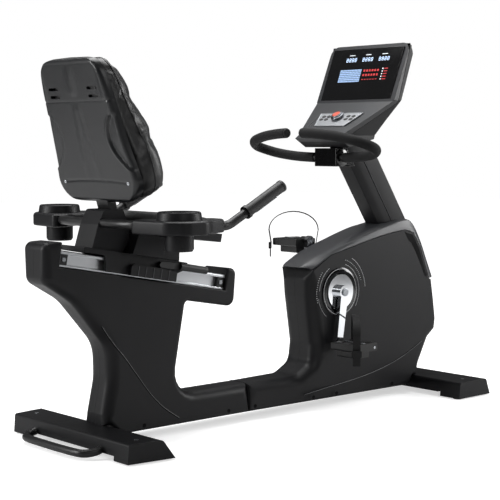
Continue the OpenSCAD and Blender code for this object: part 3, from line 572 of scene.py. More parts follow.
# ---------------------------------------------------------------- meshes
def link_mesh(name: str, mesh: Mesh) -> Object:
    """Puts a mesh into the scene as an object at the origin."""
    obj = bpy.data.objects.new(name, mesh)
    bpy.context.scene.collection.objects.link(obj)
    return obj


def shade(mesh: Mesh, angle: float = 32.0) -> None:
    """Smooth shading that stays sharp across edges steeper than angle degrees."""
    mesh.shade_smooth()
    mesh.set_sharp_from_angle(angle=math.radians(angle))


def from_points(
    name: str, points: Iterable[Point], faces: Iterable[Sequence[int]], angle: float = 32.0
) -> Object:
    """Object from points in millimetres and faces, with its normals turned outwards.

    Args:
        name: Object name.
        points: Vertex positions in millimetres.
        faces: Vertex indices of each face.
        angle: Edge angle above which shading stays sharp.

    Returns:
        The linked object.
    """
    mesh = bpy.data.meshes.new(name)
    mesh.from_pydata([Vector(p) * MM for p in points], [], [list(f) for f in faces])
    work = bmesh.new()
    work.from_mesh(mesh)
    bmesh.ops.remove_doubles(work, verts=work.verts, dist=1e-6)
    bmesh.ops.recalc_face_normals(work, faces=work.faces)
    work.to_mesh(mesh)
    work.free()
    shade(mesh, angle)
    return link_mesh(name, mesh)


def loft(name: str, rings: Sequence[Sequence[Point]], closed: bool = True, angle: float = 32.0) -> Object:
    """Skin over rings of equal length.

    Args:
        name: Object name.
        rings: Rings of points in millimetres.
        closed: Whether the last ring joins the first one; otherwise both get a cap.
        angle: Edge angle above which shading stays sharp.

    Returns:
        The linked object.
    """
    size = len(rings[0])
    points = [p for ring in rings for p in ring]
    rows = len(rings) if closed else len(rings) - 1
    faces = []
    for r in range(rows):
        a, b = r * size, ((r + 1) % len(rings)) * size
        faces += [(a + k, a + (k + 1) % size, b + (k + 1) % size, b + k) for k in range(size)]
    if not closed:
        faces += [tuple(range(size)), tuple(range((len(rings) - 1) * size, len(rings) * size))]
    return from_points(name, points, faces, angle)


def bake(obj: Object) -> Object:
    """Turns an object's modifiers into its plain mesh."""
    graph = bpy.context.evaluated_depsgraph_get()
    result = bpy.data.meshes.new_from_object(
        obj.evaluated_get(graph), preserve_all_data_layers=True, depsgraph=graph
    )
    obj.modifiers.clear()
    obj.data = result
    return obj


def cut(obj: Object, cutters: Iterable[Object]) -> Object:
    """Removes the cutters' volume from an object and drops the cutters."""
    for cutter in list(cutters):
        mod = obj.modifiers.new("Cut", "BOOLEAN")
        mod.operation = "DIFFERENCE"
        mod.solver = "EXACT"
        mod.object = cutter
        bake(obj)
        bpy.data.objects.remove(cutter)
    shade(obj.data)
    return obj


def soften(obj: Object, width: float, segments: int = 3, angle: float = 34.0) -> Object:
    """Rounds an object's sharp edges and evens its normals.

    Args:
        obj: Object to change.
        width: Width of the rounding in millimetres.
        segments: Segments across the rounding.
        angle: Edge angle above which an edge is rounded.

    Returns:
        The same object.
    """
    obj.data.shade_smooth()
    bevel = obj.modifiers.new("Bevel", "BEVEL")
    bevel.width = width * MM
    bevel.segments = segments
    bevel.limit_method = "ANGLE"
    bevel.angle_limit = math.radians(angle)
    bevel.use_clamp_overlap = True
    normals = obj.modifiers.new("Normals", "WEIGHTED_NORMAL")
    normals.keep_sharp = True
    return bake(obj)


def cad_copy(name: str, node: str) -> Object:
    """Clean copy of a CAD node's mesh, with its flat faces joined up.

    Args:
        name: Name of the copy.
        node: CAD node copied.

    Returns:
        The linked copy.
    """
    work = bmesh.new()
    work.from_mesh(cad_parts[node].data)
    bmesh.ops.remove_doubles(work, verts=work.verts, dist=2e-5)
    bmesh.ops.dissolve_limit(work, angle_limit=math.radians(0.7), verts=work.verts, edges=work.edges)
    index = {v: i for i, v in enumerate(work.verts)}
    points = [v.co / MM for v in work.verts]
    faces = [[index[v] for v in f.verts] for f in work.faces]
    work.free()
    return from_points(name, points, faces)


def softened(name: str, node: str, width: float, segments: int = 3, angle: float = 34.0) -> Object:
    """Copy of a CAD node whose sharp edges are rounded by width millimetres."""
    return soften(cad_copy(name, node), width, segments, angle)


def round_corners(obj: Object, above: float, radius: float) -> Object:
    """Rounds the outer corners of an upright panel, seen from the front.

    Args:
        obj: Object to change.
        above: Only corners above this height are rounded.
        radius: Radius of the rounding in millimetres.

    Returns:
        The same object.
    """
    work = bmesh.new()
    work.from_mesh(obj.data)
    far = max(abs(v.co.y) for v in work.verts)
    picked = [
        e
        for e in work.edges
        if all(abs(abs(v.co.y) - far) < MM and v.co.z > above * MM for v in e.verts)
        and abs((e.verts[0].co - e.verts[1].co).normalized().x) > 0.6
        and e.verts[0].co.y * e.verts[1].co.y > 0
    ]
    if picked:
        bmesh.ops.bevel(
            work, geom=picked, offset=radius * MM, segments=8, profile=0.5, affect="EDGES", clamp_overlap=True
        )
    work.to_mesh(obj.data)
    work.free()
    shade(obj.data)
    return obj


def box(name: str, low: Point, high: Point) -> Object:
    """Plain block between two corners in millimetres."""
    xs, ys, zs = zip(low, high)
    points = [(x, y, z) for x in xs for y in ys for z in zs]
    faces = [(0, 1, 3, 2), (4, 6, 7, 5), (0, 4, 5, 1), (2, 3, 7, 6), (0, 2, 6, 4), (1, 5, 7, 3)]
    return from_points(name, points, faces)


def unit_block() -> Object:
    """Block one millimetre wide about the origin, for scattering."""
    return box("unit_block", (-0.5, -0.5, -0.5), (0.5, 0.5, 0.5))


def disc_y(name: str, x: float, z: float, profile: Sequence[Point], steps: int = 64) -> Object:
    """Body turned about an axis along Y.

    Args:
        name: Object name.
        x: Forward position of the axis.
        z: Height of the axis.
        profile: Radius and y position of each ring, ends included.
        steps: Segments round the axis.

    Returns:
        The linked object.
    """
    rings = [[(x + a, y, z + b) for a, b in circle(r, steps)] for r, y in profile]
    return loft(name, rings, closed=False)


def join(name: str, objs: Sequence[Object]) -> Object:
    """Joins objects into one mesh object under a new name."""
    work = bmesh.new()
    for obj in objs:
        work.from_mesh(obj.data)
        bpy.data.objects.remove(obj)
    mesh = bpy.data.meshes.new(name)
    work.to_mesh(mesh)
    work.free()
    shade(mesh)
    return link_mesh(name, mesh)


# ---------------------------------------------------------------- geometry nodes
def new_group(name: str, sockets: dict[str, str]) -> tuple[Tree, Node]:
    """Geometry node group with named inputs and one geometry output.

    Args:
        name: Group name.
        sockets: Input name to socket type.

    Returns:
        The group and its input node.
    """
    group = bpy.data.node_groups.new(name, "GeometryNodeTree")
    group.interface.new_socket("Geometry", in_out="OUTPUT", socket_type="NodeSocketGeometry")
    for label, kind in sockets.items():
        group.interface.new_socket(label, in_out="INPUT", socket_type=kind)
    return group, group.nodes.new("NodeGroupInput")


def finish_group(group: Tree, source: Node, geometry: Socket) -> None:
    """Ends a group with Realize Instances, smooth shading and Set Material."""
    real = add_node(group, "GeometryNodeRealizeInstances", {0: geometry})
    smooth = add_node(group, "GeometryNodeSetShadeSmooth", {0: real.outputs[0]})
    painted = add_node(
        group,
        "GeometryNodeSetMaterial",
        {"Geometry": smooth.outputs[0], "Material": source.outputs["Material"]},
    )
    add_node(group, "NodeGroupOutput", {0: painted.outputs[0]})


def sweep_group() -> Tree:
    """Group that sweeps a round section along a line mesh."""
    found = bpy.data.node_groups.get("SweptTube")
    if found:
        return found
    group, source = new_group(
        "SweptTube",
        {
            "Geometry": "NodeSocketGeometry",
            "Radius": "NodeSocketFloat",
            "Sides": "NodeSocketInt",
            "Material": "NodeSocketMaterial",
        },
    )
    curve = add_node(group, "GeometryNodeMeshToCurve", {"Mesh": source.outputs["Geometry"]})
    section = add_node(
        group,
        "GeometryNodeCurvePrimitiveCircle",
        {"Resolution": source.outputs["Sides"], "Radius": source.outputs["Radius"]},
    )
    tube = add_node(
        group,
        "GeometryNodeCurveToMesh",
        {"Curve": curve.outputs[0], "Profile Curve": section.outputs[0], "Fill Caps": True},
    )
    finish_group(group, source, tube.outputs[0])
    return group


def scatter_group() -> Tree:
    """Group that sets a copy of a template on each point, turned and sized by the point's own values."""
    found = bpy.data.node_groups.get("SetOnPoints")
    if found:
        return found
    group, source = new_group(
        "SetOnPoints",
        {
            "Geometry": "NodeSocketGeometry",
            "Template": "NodeSocketObject",
            "Material": "NodeSocketMaterial",
        },
    )
    template = add_node(group, "GeometryNodeObjectInfo", {"Object": source.outputs["Template"]})
    turn = add_node(group, "GeometryNodeInputNamedAttribute", {"Name": "turn"}, data_type="FLOAT_VECTOR")
    size = add_node(group, "GeometryNodeInputNamedAttribute", {"Name": "size"}, data_type="FLOAT_VECTOR")
    placed = add_node(
        group,
        "GeometryNodeInstanceOnPoints",
        {
            "Points": source.outputs["Geometry"],
            "Instance": template.outputs["Geometry"],
            "Scale": size.outputs[0],
        },
    )
    rotation = add_node(group, "FunctionNodeEulerToRotation", {0: turn.outputs[0]})
    group.links.new(rotation.outputs[0], placed.inputs["Rotation"])
    finish_group(group, source, placed.outputs[0])
    return group


def run_group(obj: Object, group: Tree, values: dict[str, object]) -> Object:
    """Runs a geometry node group on an object and keeps the result as its plain mesh."""
    mod = obj.modifiers.new(group.name, "NODES")
    mod.node_group = group
    for item in group.interface.items_tree:
        if item.in_out == "INPUT" and item.name in values:
            mod[item.identifier] = values[item.name]
    obj.update_tag()
    return bake(obj)


def tube(
    name: str, path: Sequence[Point], radius: float, finish: Finish, loop: bool = False, sides: int = 20
) -> Object:
    """Round bar along a path, made by the sweep group.

    Args:
        name: Object name.
        path: Points in millimetres.
        radius: Radius in millimetres.
        finish: Finish set by the group.
        loop: Whether the path closes on itself.
        sides: Sides of the round section.

    Returns:
        The linked object.
    """
    count = len(path)
    edges = [(i, (i + 1) % count) for i in range(count if loop else count - 1)]
    mesh = bpy.data.meshes.new(name)
    mesh.from_pydata([Vector(p) * MM for p in path], edges, [])
    obj = link_mesh(name, mesh)
    values = {"Radius": radius * MM, "Sides": sides, "Material": finish.material()}
    run_group(obj, sweep_group(), values)
    outward(obj)
    shade(obj.data, 40)
    return obj


def outward(obj: Object) -> None:
    """Turns an object's faces outwards."""
    work = bmesh.new()
    work.from_mesh(obj.data)
    bmesh.ops.recalc_face_normals(work, faces=work.faces)
    work.to_mesh(obj.data)
    work.free()


@dataclass(frozen=True)
class Spot:
    """Place of one repeated part.

    Attributes:
        at: Position in millimetres.
        turn: Euler rotation in radians.
        size: Scale along the template's own axes.
    """

    at: Point
    turn: Point = (0, 0, 0)
    size: Point = (1, 1, 1)


def scatter(name: str, spots: Sequence[Spot], template: Object, finish: Finish) -> Object:
    """Copies of a template at many spots, made by the scatter group; the template is dropped.

    Args:
        name: Object name.
        spots: Places of the copies.
        template: Object copied, modelled about the origin.
        finish: Finish set by the group.

    Returns:
        The linked object.
    """
    mesh = bpy.data.meshes.new(name)
    mesh.from_pydata([Vector(s.at) * MM for s in spots], [], [])
    for label in ("turn", "size"):
        attribute = mesh.attributes.new(label, "FLOAT_VECTOR", "POINT")
        attribute.data.foreach_set("vector", [v for s in spots for v in getattr(s, label)])
    obj = link_mesh(name, mesh)
    run_group(obj, scatter_group(), {"Template": template, "Material": finish.material()})
    bpy.data.objects.remove(template)
    shade(obj.data)
    return obj


def plug_template() -> Object:
    """Unit plug that stands along Z with a bevelled rim and a shallow dish."""
    profile = [(0.02, 0), (1, 0), (1, 0.7), (0.86, 1), (0.6, 1), (0.5, 0.75), (0.02, 0.75)]
    return loft("plug_template", [[(a, b, z) for a, b in circle(r, 24)] for r, z in profile], closed=False)


# ---------------------------------------------------------------- shared dimensions, as in the CAD model
RAIL_MID = Vector((-505, 0, 499.5))
RAIL_TILT = math.radians(10.3)
BACK_FOOT = Vector((-612, 0, 738))
BACK_LEAN = math.radians(16.7)
BACK_LEN = 446
CRANK = Vector((316, 0, 400))
CRANK_LEN = 170
CRANK_LEAN = math.radians(8)
MAST_FOOT = Vector((628, 0, 622))
MAST_LEAN = math.radians(34)
DISPLAY_LEAN = math.radians(21)
DISPLAY_TOP = Vector((541, 0, 1249))
DISPLAY_H = 196
BASE_HALF = 60
SHROUD_HALF = 78
SPLIT_X = -85
HALF_LEN = 874


def rail_point(u: float, y: float, n: float) -> Vector:
    """Point u down the rail, y across it and n above its underside."""
    cos, sin = math.cos(RAIL_TILT), math.sin(RAIL_TILT)
    return RAIL_MID + Vector((u * cos + n * sin, y, n * cos - u * sin))


def back_point(t: float, y: float, s: float) -> Vector:
    """Point t ahead of the backrest plane, y across it and s up it."""
    cos, sin = math.cos(BACK_LEAN), math.sin(BACK_LEAN)
    return BACK_FOOT + Vector((t * cos - s * sin, y, t * sin + s * cos))


def mast_point(u: float, y: float, w: float) -> Vector:
    """Point w up the mast, y across it and u ahead of its axis."""
    cos, sin = math.cos(MAST_LEAN), math.sin(MAST_LEAN)
    return MAST_FOOT + Vector((u * cos - w * sin, y, u * sin + w * cos))


def rail_corner(u: float, n: float, radius: float) -> Point:
    """Outline corner given in rail terms."""
    p = rail_point(u, 0, n)
    return (p.x, p.z, radius)


# Outline corners: forward position, height, corner radius, radius of the cover's outer edge there
COLUMN_CORNERS = [
    (-664, 62.4, 0, 26), (-640, 62.4, 0, 14), (-600, 30, 8, 10), (SPLIT_X, 30, 0, 10), (SPLIT_X, 124, 0, 34),
    (-393, 124, 72, 34), (-350, 420, 16, 14), (-149, 384, 26, 13), (-138, 508, 22, 13),
    (*rail_corner(321, 72, 4), 9), (*rail_corner(321, -0.4, 0), 6), (*rail_corner(-321, -0.4, 0), 6),
    (*rail_corner(-321, 72, 4), 9), (-HALF_LEN, 628, 24, 22), (-HALF_LEN, 510, 30, 28), (-770, 446, 150, 34),
    (-645, 300, 110, 36), (-642, 200, 200, 36), (-664, 96, 12, 34),
]  # fmt: skip
# Edges of the top cover from the rear down to the front: lower edge, shoulder and ridge
TOP_LINE = [(190, 482), (277, 530), (508, 580), (581, 591), (652, 600), (698, 588), (736, 533), (786, 414)]
MID_CROWN = [
    (182, 488), (277, 541), (508, 604), (581, 618), (668, 640), (704, 622), (748, 552), (772, 500),
    (812, 417),
]  # fmt: skip
TOP_CROWN = [
    (160, 491), (197, 511), (259, 536), (463, 606), (559, 622), (690, 642), (726, 618), (769, 548),
    (790, 500), (828, 419),
]  # fmt: skip
SHROUD_CORNERS = (
    [(-84.6, 30, 0, 10), (676, 30, 10, 12), (706, 62.4, 0, 14), (724, 62.4, 0, 14), (740, 106, 30, 20),
     (790, 192, 16, 24), (830, 222, 16, 24), (836, 262, 40, 24), (822, 345, 100, 22), (802, 412, 4, 10)]
    + [(x, z, 0, 3) for x, z in reversed(TOP_LINE)]
    + [(174, 450, 20, 40), (178, 390, 60, 42), (203, 225, 60, 42), (196, 160, 40, 40), (132, 124, 60, 36),
       (-84.6, 124, 0, 34)]
)  # fmt: skip


@dataclass
class Assembly(ABC):
    """Sub-assembly that builds its pieces and dresses them.

    Attributes:
        pieces: Each finished piece with its finish.
    """

    pieces: list[tuple[Object, Finish]] = field(default_factory=list)

    @abstractmethod
    def build(self) -> None:
        """Builds every piece of the sub-assembly."""

    def keep(self, obj: Object, body: str, finish: Finish, *nodes: str) -> Object:
        """Fixes a finished piece to its body.

        Args:
            obj: The piece, in place.
            body: CAD body it moves with.
            finish: Its finish.
            *nodes: CAD nodes the piece stands for.

        Returns:
            The piece.
        """
        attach(obj, body)
        if nodes:
            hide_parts(*nodes)
        self.pieces.append((obj, finish))
        LOG.info("%s: %d faces on %s", obj.name, len(obj.data.polygons), body)
        return obj

    def dress(self) -> None:
        """Gives every piece its material."""
        for obj, finish in self.pieces:
            obj.data.materials.clear()
            obj.data.materials.append(finish.material())


def half_shell(
    name: str, corners: Sequence[Point], side: int, width: Callable[[float], float], wall: float = 3
) -> Object:
    """Hollow half cover, open on the middle plane, with a rounded outer edge.

    Args:
        name: Object name.
        corners: Side outline, anticlockwise: position, height, corner radius and edge radius.
        side: 1 for left, -1 for right.
        width: Half width of the closed cover at a forward position.
        wall: Thickness of the moulding.

    Returns:
        The linked object.
    """
    edges = [c[3] for c in corners for _ in range(CORNER_STEPS + 1 if c[2] > 0 else 1)]

    def ring(share: float, skin: float = 0.0, flat: float | None = None) -> list[Vector]:
        """Ring at a share of the edge's rounding, skin inside the surface or flat at one width."""
        points = []
        outline = rounded(inset(corners, [skin + c[3] * share for c in corners]))
        rise = math.sqrt(1 - (1 - share) ** 2)
        for p, radius in zip(outline, edges):
            y = width(p.x) - skin - radius * (1 - rise)
            points.append(Vector((p.x, side * (y if flat is None else flat), p.y)))
        return points

    shares = (0, 0.015, 0.05, 0.11, 0.2, 0.31, 0.45, 0.6, 0.78, 1.0)
    rings = [ring(q, wall) for q in reversed(shares[::3])]
    rings += [ring(0, wall, 0.2), ring(0, flat=0.2)]
    rings += [ring(q) for q in shares]
    return loft(name, rings, closed=False)


def shroud_width(x: float) -> float:
    """Half width of the shroud at a forward position; it narrows to the base tube at the rear."""
    return BASE_HALF + (SHROUD_HALF - BASE_HALF) * blend01(-60, 175, x)


def even(obj: Object) -> Object:
    """Weights an object's normals by face area, so flats next to roundings stay flat."""
    normals = obj.modifiers.new("Normals", "WEIGHTED_NORMAL")
    normals.keep_sharp = True
    return bake(obj)


def resampled(line: Sequence[Point], count: int) -> list[Vector]:
    """Line with its corners eased, sampled at even steps.

    Args:
        line: Corner points.
        count: Number of samples.

    Returns:
        The samples.
    """
    points = [Vector(p) for p in line]
    for _ in range(2):
        eased = [points[0]]
        for a, b in zip(points, points[1:]):
            eased += [a.lerp(b, 0.25), a.lerp(b, 0.75)]
        points = eased + [points[-1]]
    spans = [(b - a).length for a, b in zip(points, points[1:])]
    total = sum(spans)
    samples, i, walked = [], 0, 0.0
    for k in range(count):
        want = total * k / (count - 1)
        while i < len(spans) - 1 and walked + spans[i] < want:
            walked += spans[i]
            i += 1
        samples.append(points[i].lerp(points[i + 1], min(1.0, (want - walked) / spans[i])))
    return samples


def base_plugs(xs: Sequence[float], side: int, width: Callable[[float], float]) -> list[Spot]:
    """Places of the round plugs along the base of one cover.

    Args:
        xs: Forward position of each plug.
        side: 1 for left, -1 for right.
        width: Half width of the cover at a forward position.

    Returns:
        A spot for each plug, facing outwards.
    """
    height, radius, depth = 46, 6.5, 1.2
    outward_turn = (-side * math.pi / 2, 0, 0)
    return [Spot((x, side * (width(x) - 0.2), height), outward_turn, (radius, radius, depth)) for x in xs]


# ---------------------------------------------------------------- frame and covers
@dataclass
class FloorFrame(Assembly):
    """Stabilisers with their covers, wheels and the lifting loop."""

    def build(self) -> None:
        """Builds the rounded covers, the loop and the wheel tyres."""
        for end in ("rear", "front"):
            node = f"{end}_stabiliser_cover"
            self.keep(softened(f"{node}_skin", node, 4.5), "frame", COVER, node)
        half, z, reach = 172, 20, -824
        guides = [
            (reach, 0, z), (reach + 4, half - 46, z), (-805, half - 14, z), (-780, half, z + 4),
            (-765, half, 28),
        ]  # fmt: skip
        path = spline(mirrored(guides), 6)
        self.keep(tube("lift_loop", path, 12, PAINT), "frame", PAINT, "lift_handle")
        for side in SIDES:
            node = f"transport_wheel_{SIDE_NAME[side]}"
            self.keep(softened(f"{node}_tyre", node, 3), node, RUBBER, node)
        places = ((HALF_LEN - 94, 246), (-702, 262))
        spots = [Spot((x, side * y, 61.4), size=(7, 7, 1.6)) for x, y in places for side in SIDES]
        self.keep(scatter("stabiliser_screws", spots, plug_template(), STEEL), "frame", STEEL)


@dataclass
class ColumnHousing(Assembly):
    """Seat column and base covers with their shut lines and plugs.

    Attributes:
        groove: Guides of the shut line that crosses the column.
        plug_x: Forward positions of the plugs along the base.
    """

    groove: tuple[Point, ...] = (
        (-676, 366), (-640, 318), (-591, 262), (-545, 203), (-497, 143), (-445, 92), (-383, 50),
    )  # fmt: skip
    plug_x: tuple[float, ...] = (-519, -175)

    def build(self) -> None:
        """Builds the two covers and everything on their faces."""
        for side in SIDES:
            label = SIDE_NAME[side]
            cover = half_shell(f"column_skin_{label}", COLUMN_CORNERS, side, lambda x: BASE_HALF)
            self.keep(even(cover), "frame", COVER, f"column_cover_{label}")
            # Shut line drawn as a black tube of painted shade, with a painted highlight tube along its edge
            line = spline([(x, side * (BASE_HALF - 0.4), z) for x, z in self.groove], 8)
            self.keep(tube(f"column_groove_{label}", line, 1.3, SEAM_SHADE, sides=8), "frame", SEAM_SHADE)
            highlight_line = [p + Vector((1.9, 0, 1.3)) for p in line]
            self.keep(tube(f"column_lip_{label}", highlight_line, 0.8, EDGE, sides=8), "frame", EDGE)
            # Plug holes drawn as discs in the painted shade black
            spots = base_plugs(self.plug_x, side, lambda x: BASE_HALF)
            self.keep(scatter(f"base_plugs_{label}", spots, plug_template(), SEAM_SHADE), "frame", SEAM_SHADE)
        # Shut line round the base's split, drawn as a black tube of painted shade
        turns = (math.pi / 2 * k / 8 for k in range(9))
        half = [(60, 40)] + [(26 + 34 * math.cos(a), 90 + 34 * math.sin(a)) for a in turns]
        ring = [(SPLIT_X, y, z) for y, z in half + [(-y, z) for y, z in reversed(half)]]
        self.keep(tube("base_shut_line", ring, 1.1, SEAM_SHADE, sides=8), "frame", SEAM_SHADE)


@dataclass
class DriveHousing(Assembly):
    """Shroud halves, crowned top cover, crank surrounds and the printed ring.

    Attributes:
        crease: Guides of the crease that parts the base band from the side.
        plug_x: Forward positions of the plugs along the base.
    """

    crease: tuple[Point, ...] = (
        (150, 62), (271, 75), (400, 88), (524, 108), (640, 140), (752, 188), (800, 214),
    )  # fmt: skip
    plug_x: tuple[float, ...] = (-60, 192, 304, 589)

    def build(self) -> None:
        """Builds the covers and everything on their faces."""
        for side in SIDES:
            self.side_cover(side)
            self.face_lines(side)
            self.printed_ring(side)
        self.top_cover()

    def side_cover(self, side: int) -> None:
        """Builds one shroud half with its crank opening and surround."""
        label = SIDE_NAME[side]
        cover = half_shell(f"shroud_skin_{label}", SHROUD_CORNERS, side, shroud_width)
        opening = disc_y("opening", CRANK.x, CRANK.z, [(70, side * 60), (70, side * 90)])
        self.keep(even(cut(cover, [opening])), "frame", COVER, f"shroud_{label}")
        profile = [(64, 78.2), (64, 81), (65, 82), (81, 82), (83.6, 81.2), (84, 78.2)]
        rings = [(r, side * y) for r, y in profile]
        surround = [[(CRANK.x + a, y, CRANK.z + b) for a, b in circle(r, 96)] for r, y in rings]
        trim = loft(f"crank_surround_{label}", surround)
        nodes = ("crank_surrounds",) if side > 0 else ()
        self.keep(trim, "frame", GLOSS, *nodes)

    def face_lines(self, side: int) -> None:
        """Builds the crease, the gloss wedge and the plugs of one side."""
        label = SIDE_NAME[side]
        # Crease drawn as a black tube of painted shade, sunk deeper towards the front, with a painted
        # highlight tube just below it
        depth = [0.3 + 7 * blend01(740, 800, x) for x, _ in self.crease]
        line = spline([(x, side * (shroud_width(x) - d), z) for (x, z), d in zip(self.crease, depth)], 8)
        self.keep(tube(f"shroud_crease_{label}", line, 1.0, SEAM_SHADE, sides=8), "frame", SEAM_SHADE)
        highlight_line = [p + Vector((0, 0, -2.2)) for p in line]
        self.keep(tube(f"shroud_crease_lip_{label}", highlight_line, 1.1, EDGE, sides=8), "frame", EDGE)
        # Shut line under the top cover drawn as a black tube of painted shade
        top = [(x, side * (SHROUD_HALF - 0.3), z) for x, z in TOP_LINE]
        shut = [Vector(p) + Vector((0, side * 0.2, 0)) for p in top]
        self.keep(tube(f"top_shut_line_{label}", shut, 0.9, SEAM_SHADE, sides=8), "frame", SEAM_SHADE)
        outer = [(650, 592), (694, 580), (729, 529), (776, 420)]
        inner = [(672, 560), (686, 552), (714, 512), (764, 424)]
        rings = [[(x, side * depth, z) for x, z in outer + inner[::-1]] for depth in (77.4, 78.6)]
        self.keep(loft(f"gloss_wedge_{label}", rings, closed=False), "frame", GLOSS)
        # Plug holes drawn as discs in the painted shade black
        spots = base_plugs(self.plug_x, side, shroud_width)
        self.keep(scatter(f"shroud_plugs_{label}", spots, plug_template(), SEAM_SHADE), "frame", SEAM_SHADE)

    def printed_ring(self, side: int) -> None:
        """Prints plain arcs and dots round the crank opening."""
        label = SIDE_NAME[side]
        arcs = [
            (79.5, 0, 360, 82.0, 0.7),
            (97, -35, 75, 78.0, 0.55),
            (97, 120, 176, 78.0, 0.55),
            (103, 190, 232, 78.0, 0.45),
            (128, 4, 62, 78.0, 0.6),
        ]
        lines = []
        for i, (radius, start, end, y, thick) in enumerate(arcs):
            count = 64
            path = [
                (CRANK.x + radius * math.cos(a), side * y, CRANK.z + radius * math.sin(a))
                for a in (math.radians(start + (end - start) * k / count) for k in range(count))
            ]
            lines.append(tube(f"arc_{i}", path, thick, PRINT, loop=end - start == 360, sides=6))
        self.keep(join(f"printed_arcs_{label}", lines), "frame", PRINT)
        spots = []
        for radius, first, last in ((112, 18, 78), (110, 140, 200)):
            for turn in range(first, last, 4):
                a = math.radians(turn)
                at = (CRANK.x + radius * math.cos(a), side * 77.8, CRANK.z + radius * math.sin(a))
                spots.append(Spot(at, (-side * math.pi / 2, 0, 0), (1.3, 1.3, 0.7)))
        self.keep(scatter(f"printed_dots_{label}", spots, plug_template(), PRINT), "frame", PRINT)

    def top_cover(self) -> None:
        """Builds the crowned top cover that runs down the front."""
        count = 72
        low, mid, top = (resampled(line, count) for line in (TOP_LINE, MID_CROWN, TOP_CROWN))
        rings = []
        for a, b, c in zip(low, mid, top):
            half = [(77.4, a), (76.4, a.lerp(b, 0.45)), (70, b), (58, b.lerp(c, 0.62)), (46, c), (24, c)]
            short = max(42 - (a.x - 172), 0)
            narrow = (36 + math.sqrt(42**2 - short**2)) / 78
            ring = [(p.x, y * narrow, p.y + 0.4) for y, p in half]
            rings.append(ring + [(x, -y, z) for x, y, z in reversed(ring)])
        cover = loft("shroud_top_skin", rings, closed=False, angle=28)
        # Its grey is partly painted light: lightened so the top reads as lit from above
        self.keep(soften(cover, 2.5, 2, 28), "frame", TOP_COVER, "shroud_top_cover")


@dataclass
class Mast(Assembly):
    """Mast cover, its crease lines and the handlebar clamp cover.

    Attributes:
        clamp: Forward position and height of the handlebar clamp's axis.
        flank: Half width of the mast's flat side, just outside the cover.
    """

    clamp: tuple[float, float] = (354, 863.5)
    flank: float = 44.1

    def build(self) -> None:
        """Builds the mast's pieces."""
        self.keep(softened("mast_skin", "mast_cover", 5), "frame", COVER, "mast_cover")
        clamp = softened("bar_clamp_skin", "handlebar_clamp_cover", 12, 4)
        self.keep(clamp, "frame", GLOSS, "handlebar_clamp_cover")
        profile = [(26, -56), (30, -54), (31.5, -50), (31.5, 50), (30, 54), (26, 56)]
        barrel = disc_y("bar_clamp_barrel", *self.clamp, [(0.5, -56), *profile, (0.5, 56)])
        self.keep(barrel, "frame", GLOSS)
        for side in SIDES:
            # Crease line drawn as a black tube of painted shade, with a painted highlight tube beside it
            heights = range(10, 301, 20)
            line = [mast_point(-4, side * self.flank, w) for w in heights]
            self.keep(tube(f"mast_crease_{SIDE_NAME[side]}", line, 0.9, SEAM_SHADE, sides=8), "frame", SEAM_SHADE)
            highlight_line = [mast_point(-1.6, side * self.flank, w) for w in heights]
            self.keep(tube(f"mast_lip_{SIDE_NAME[side]}", highlight_line, 0.7, EDGE, sides=8), "frame", EDGE)


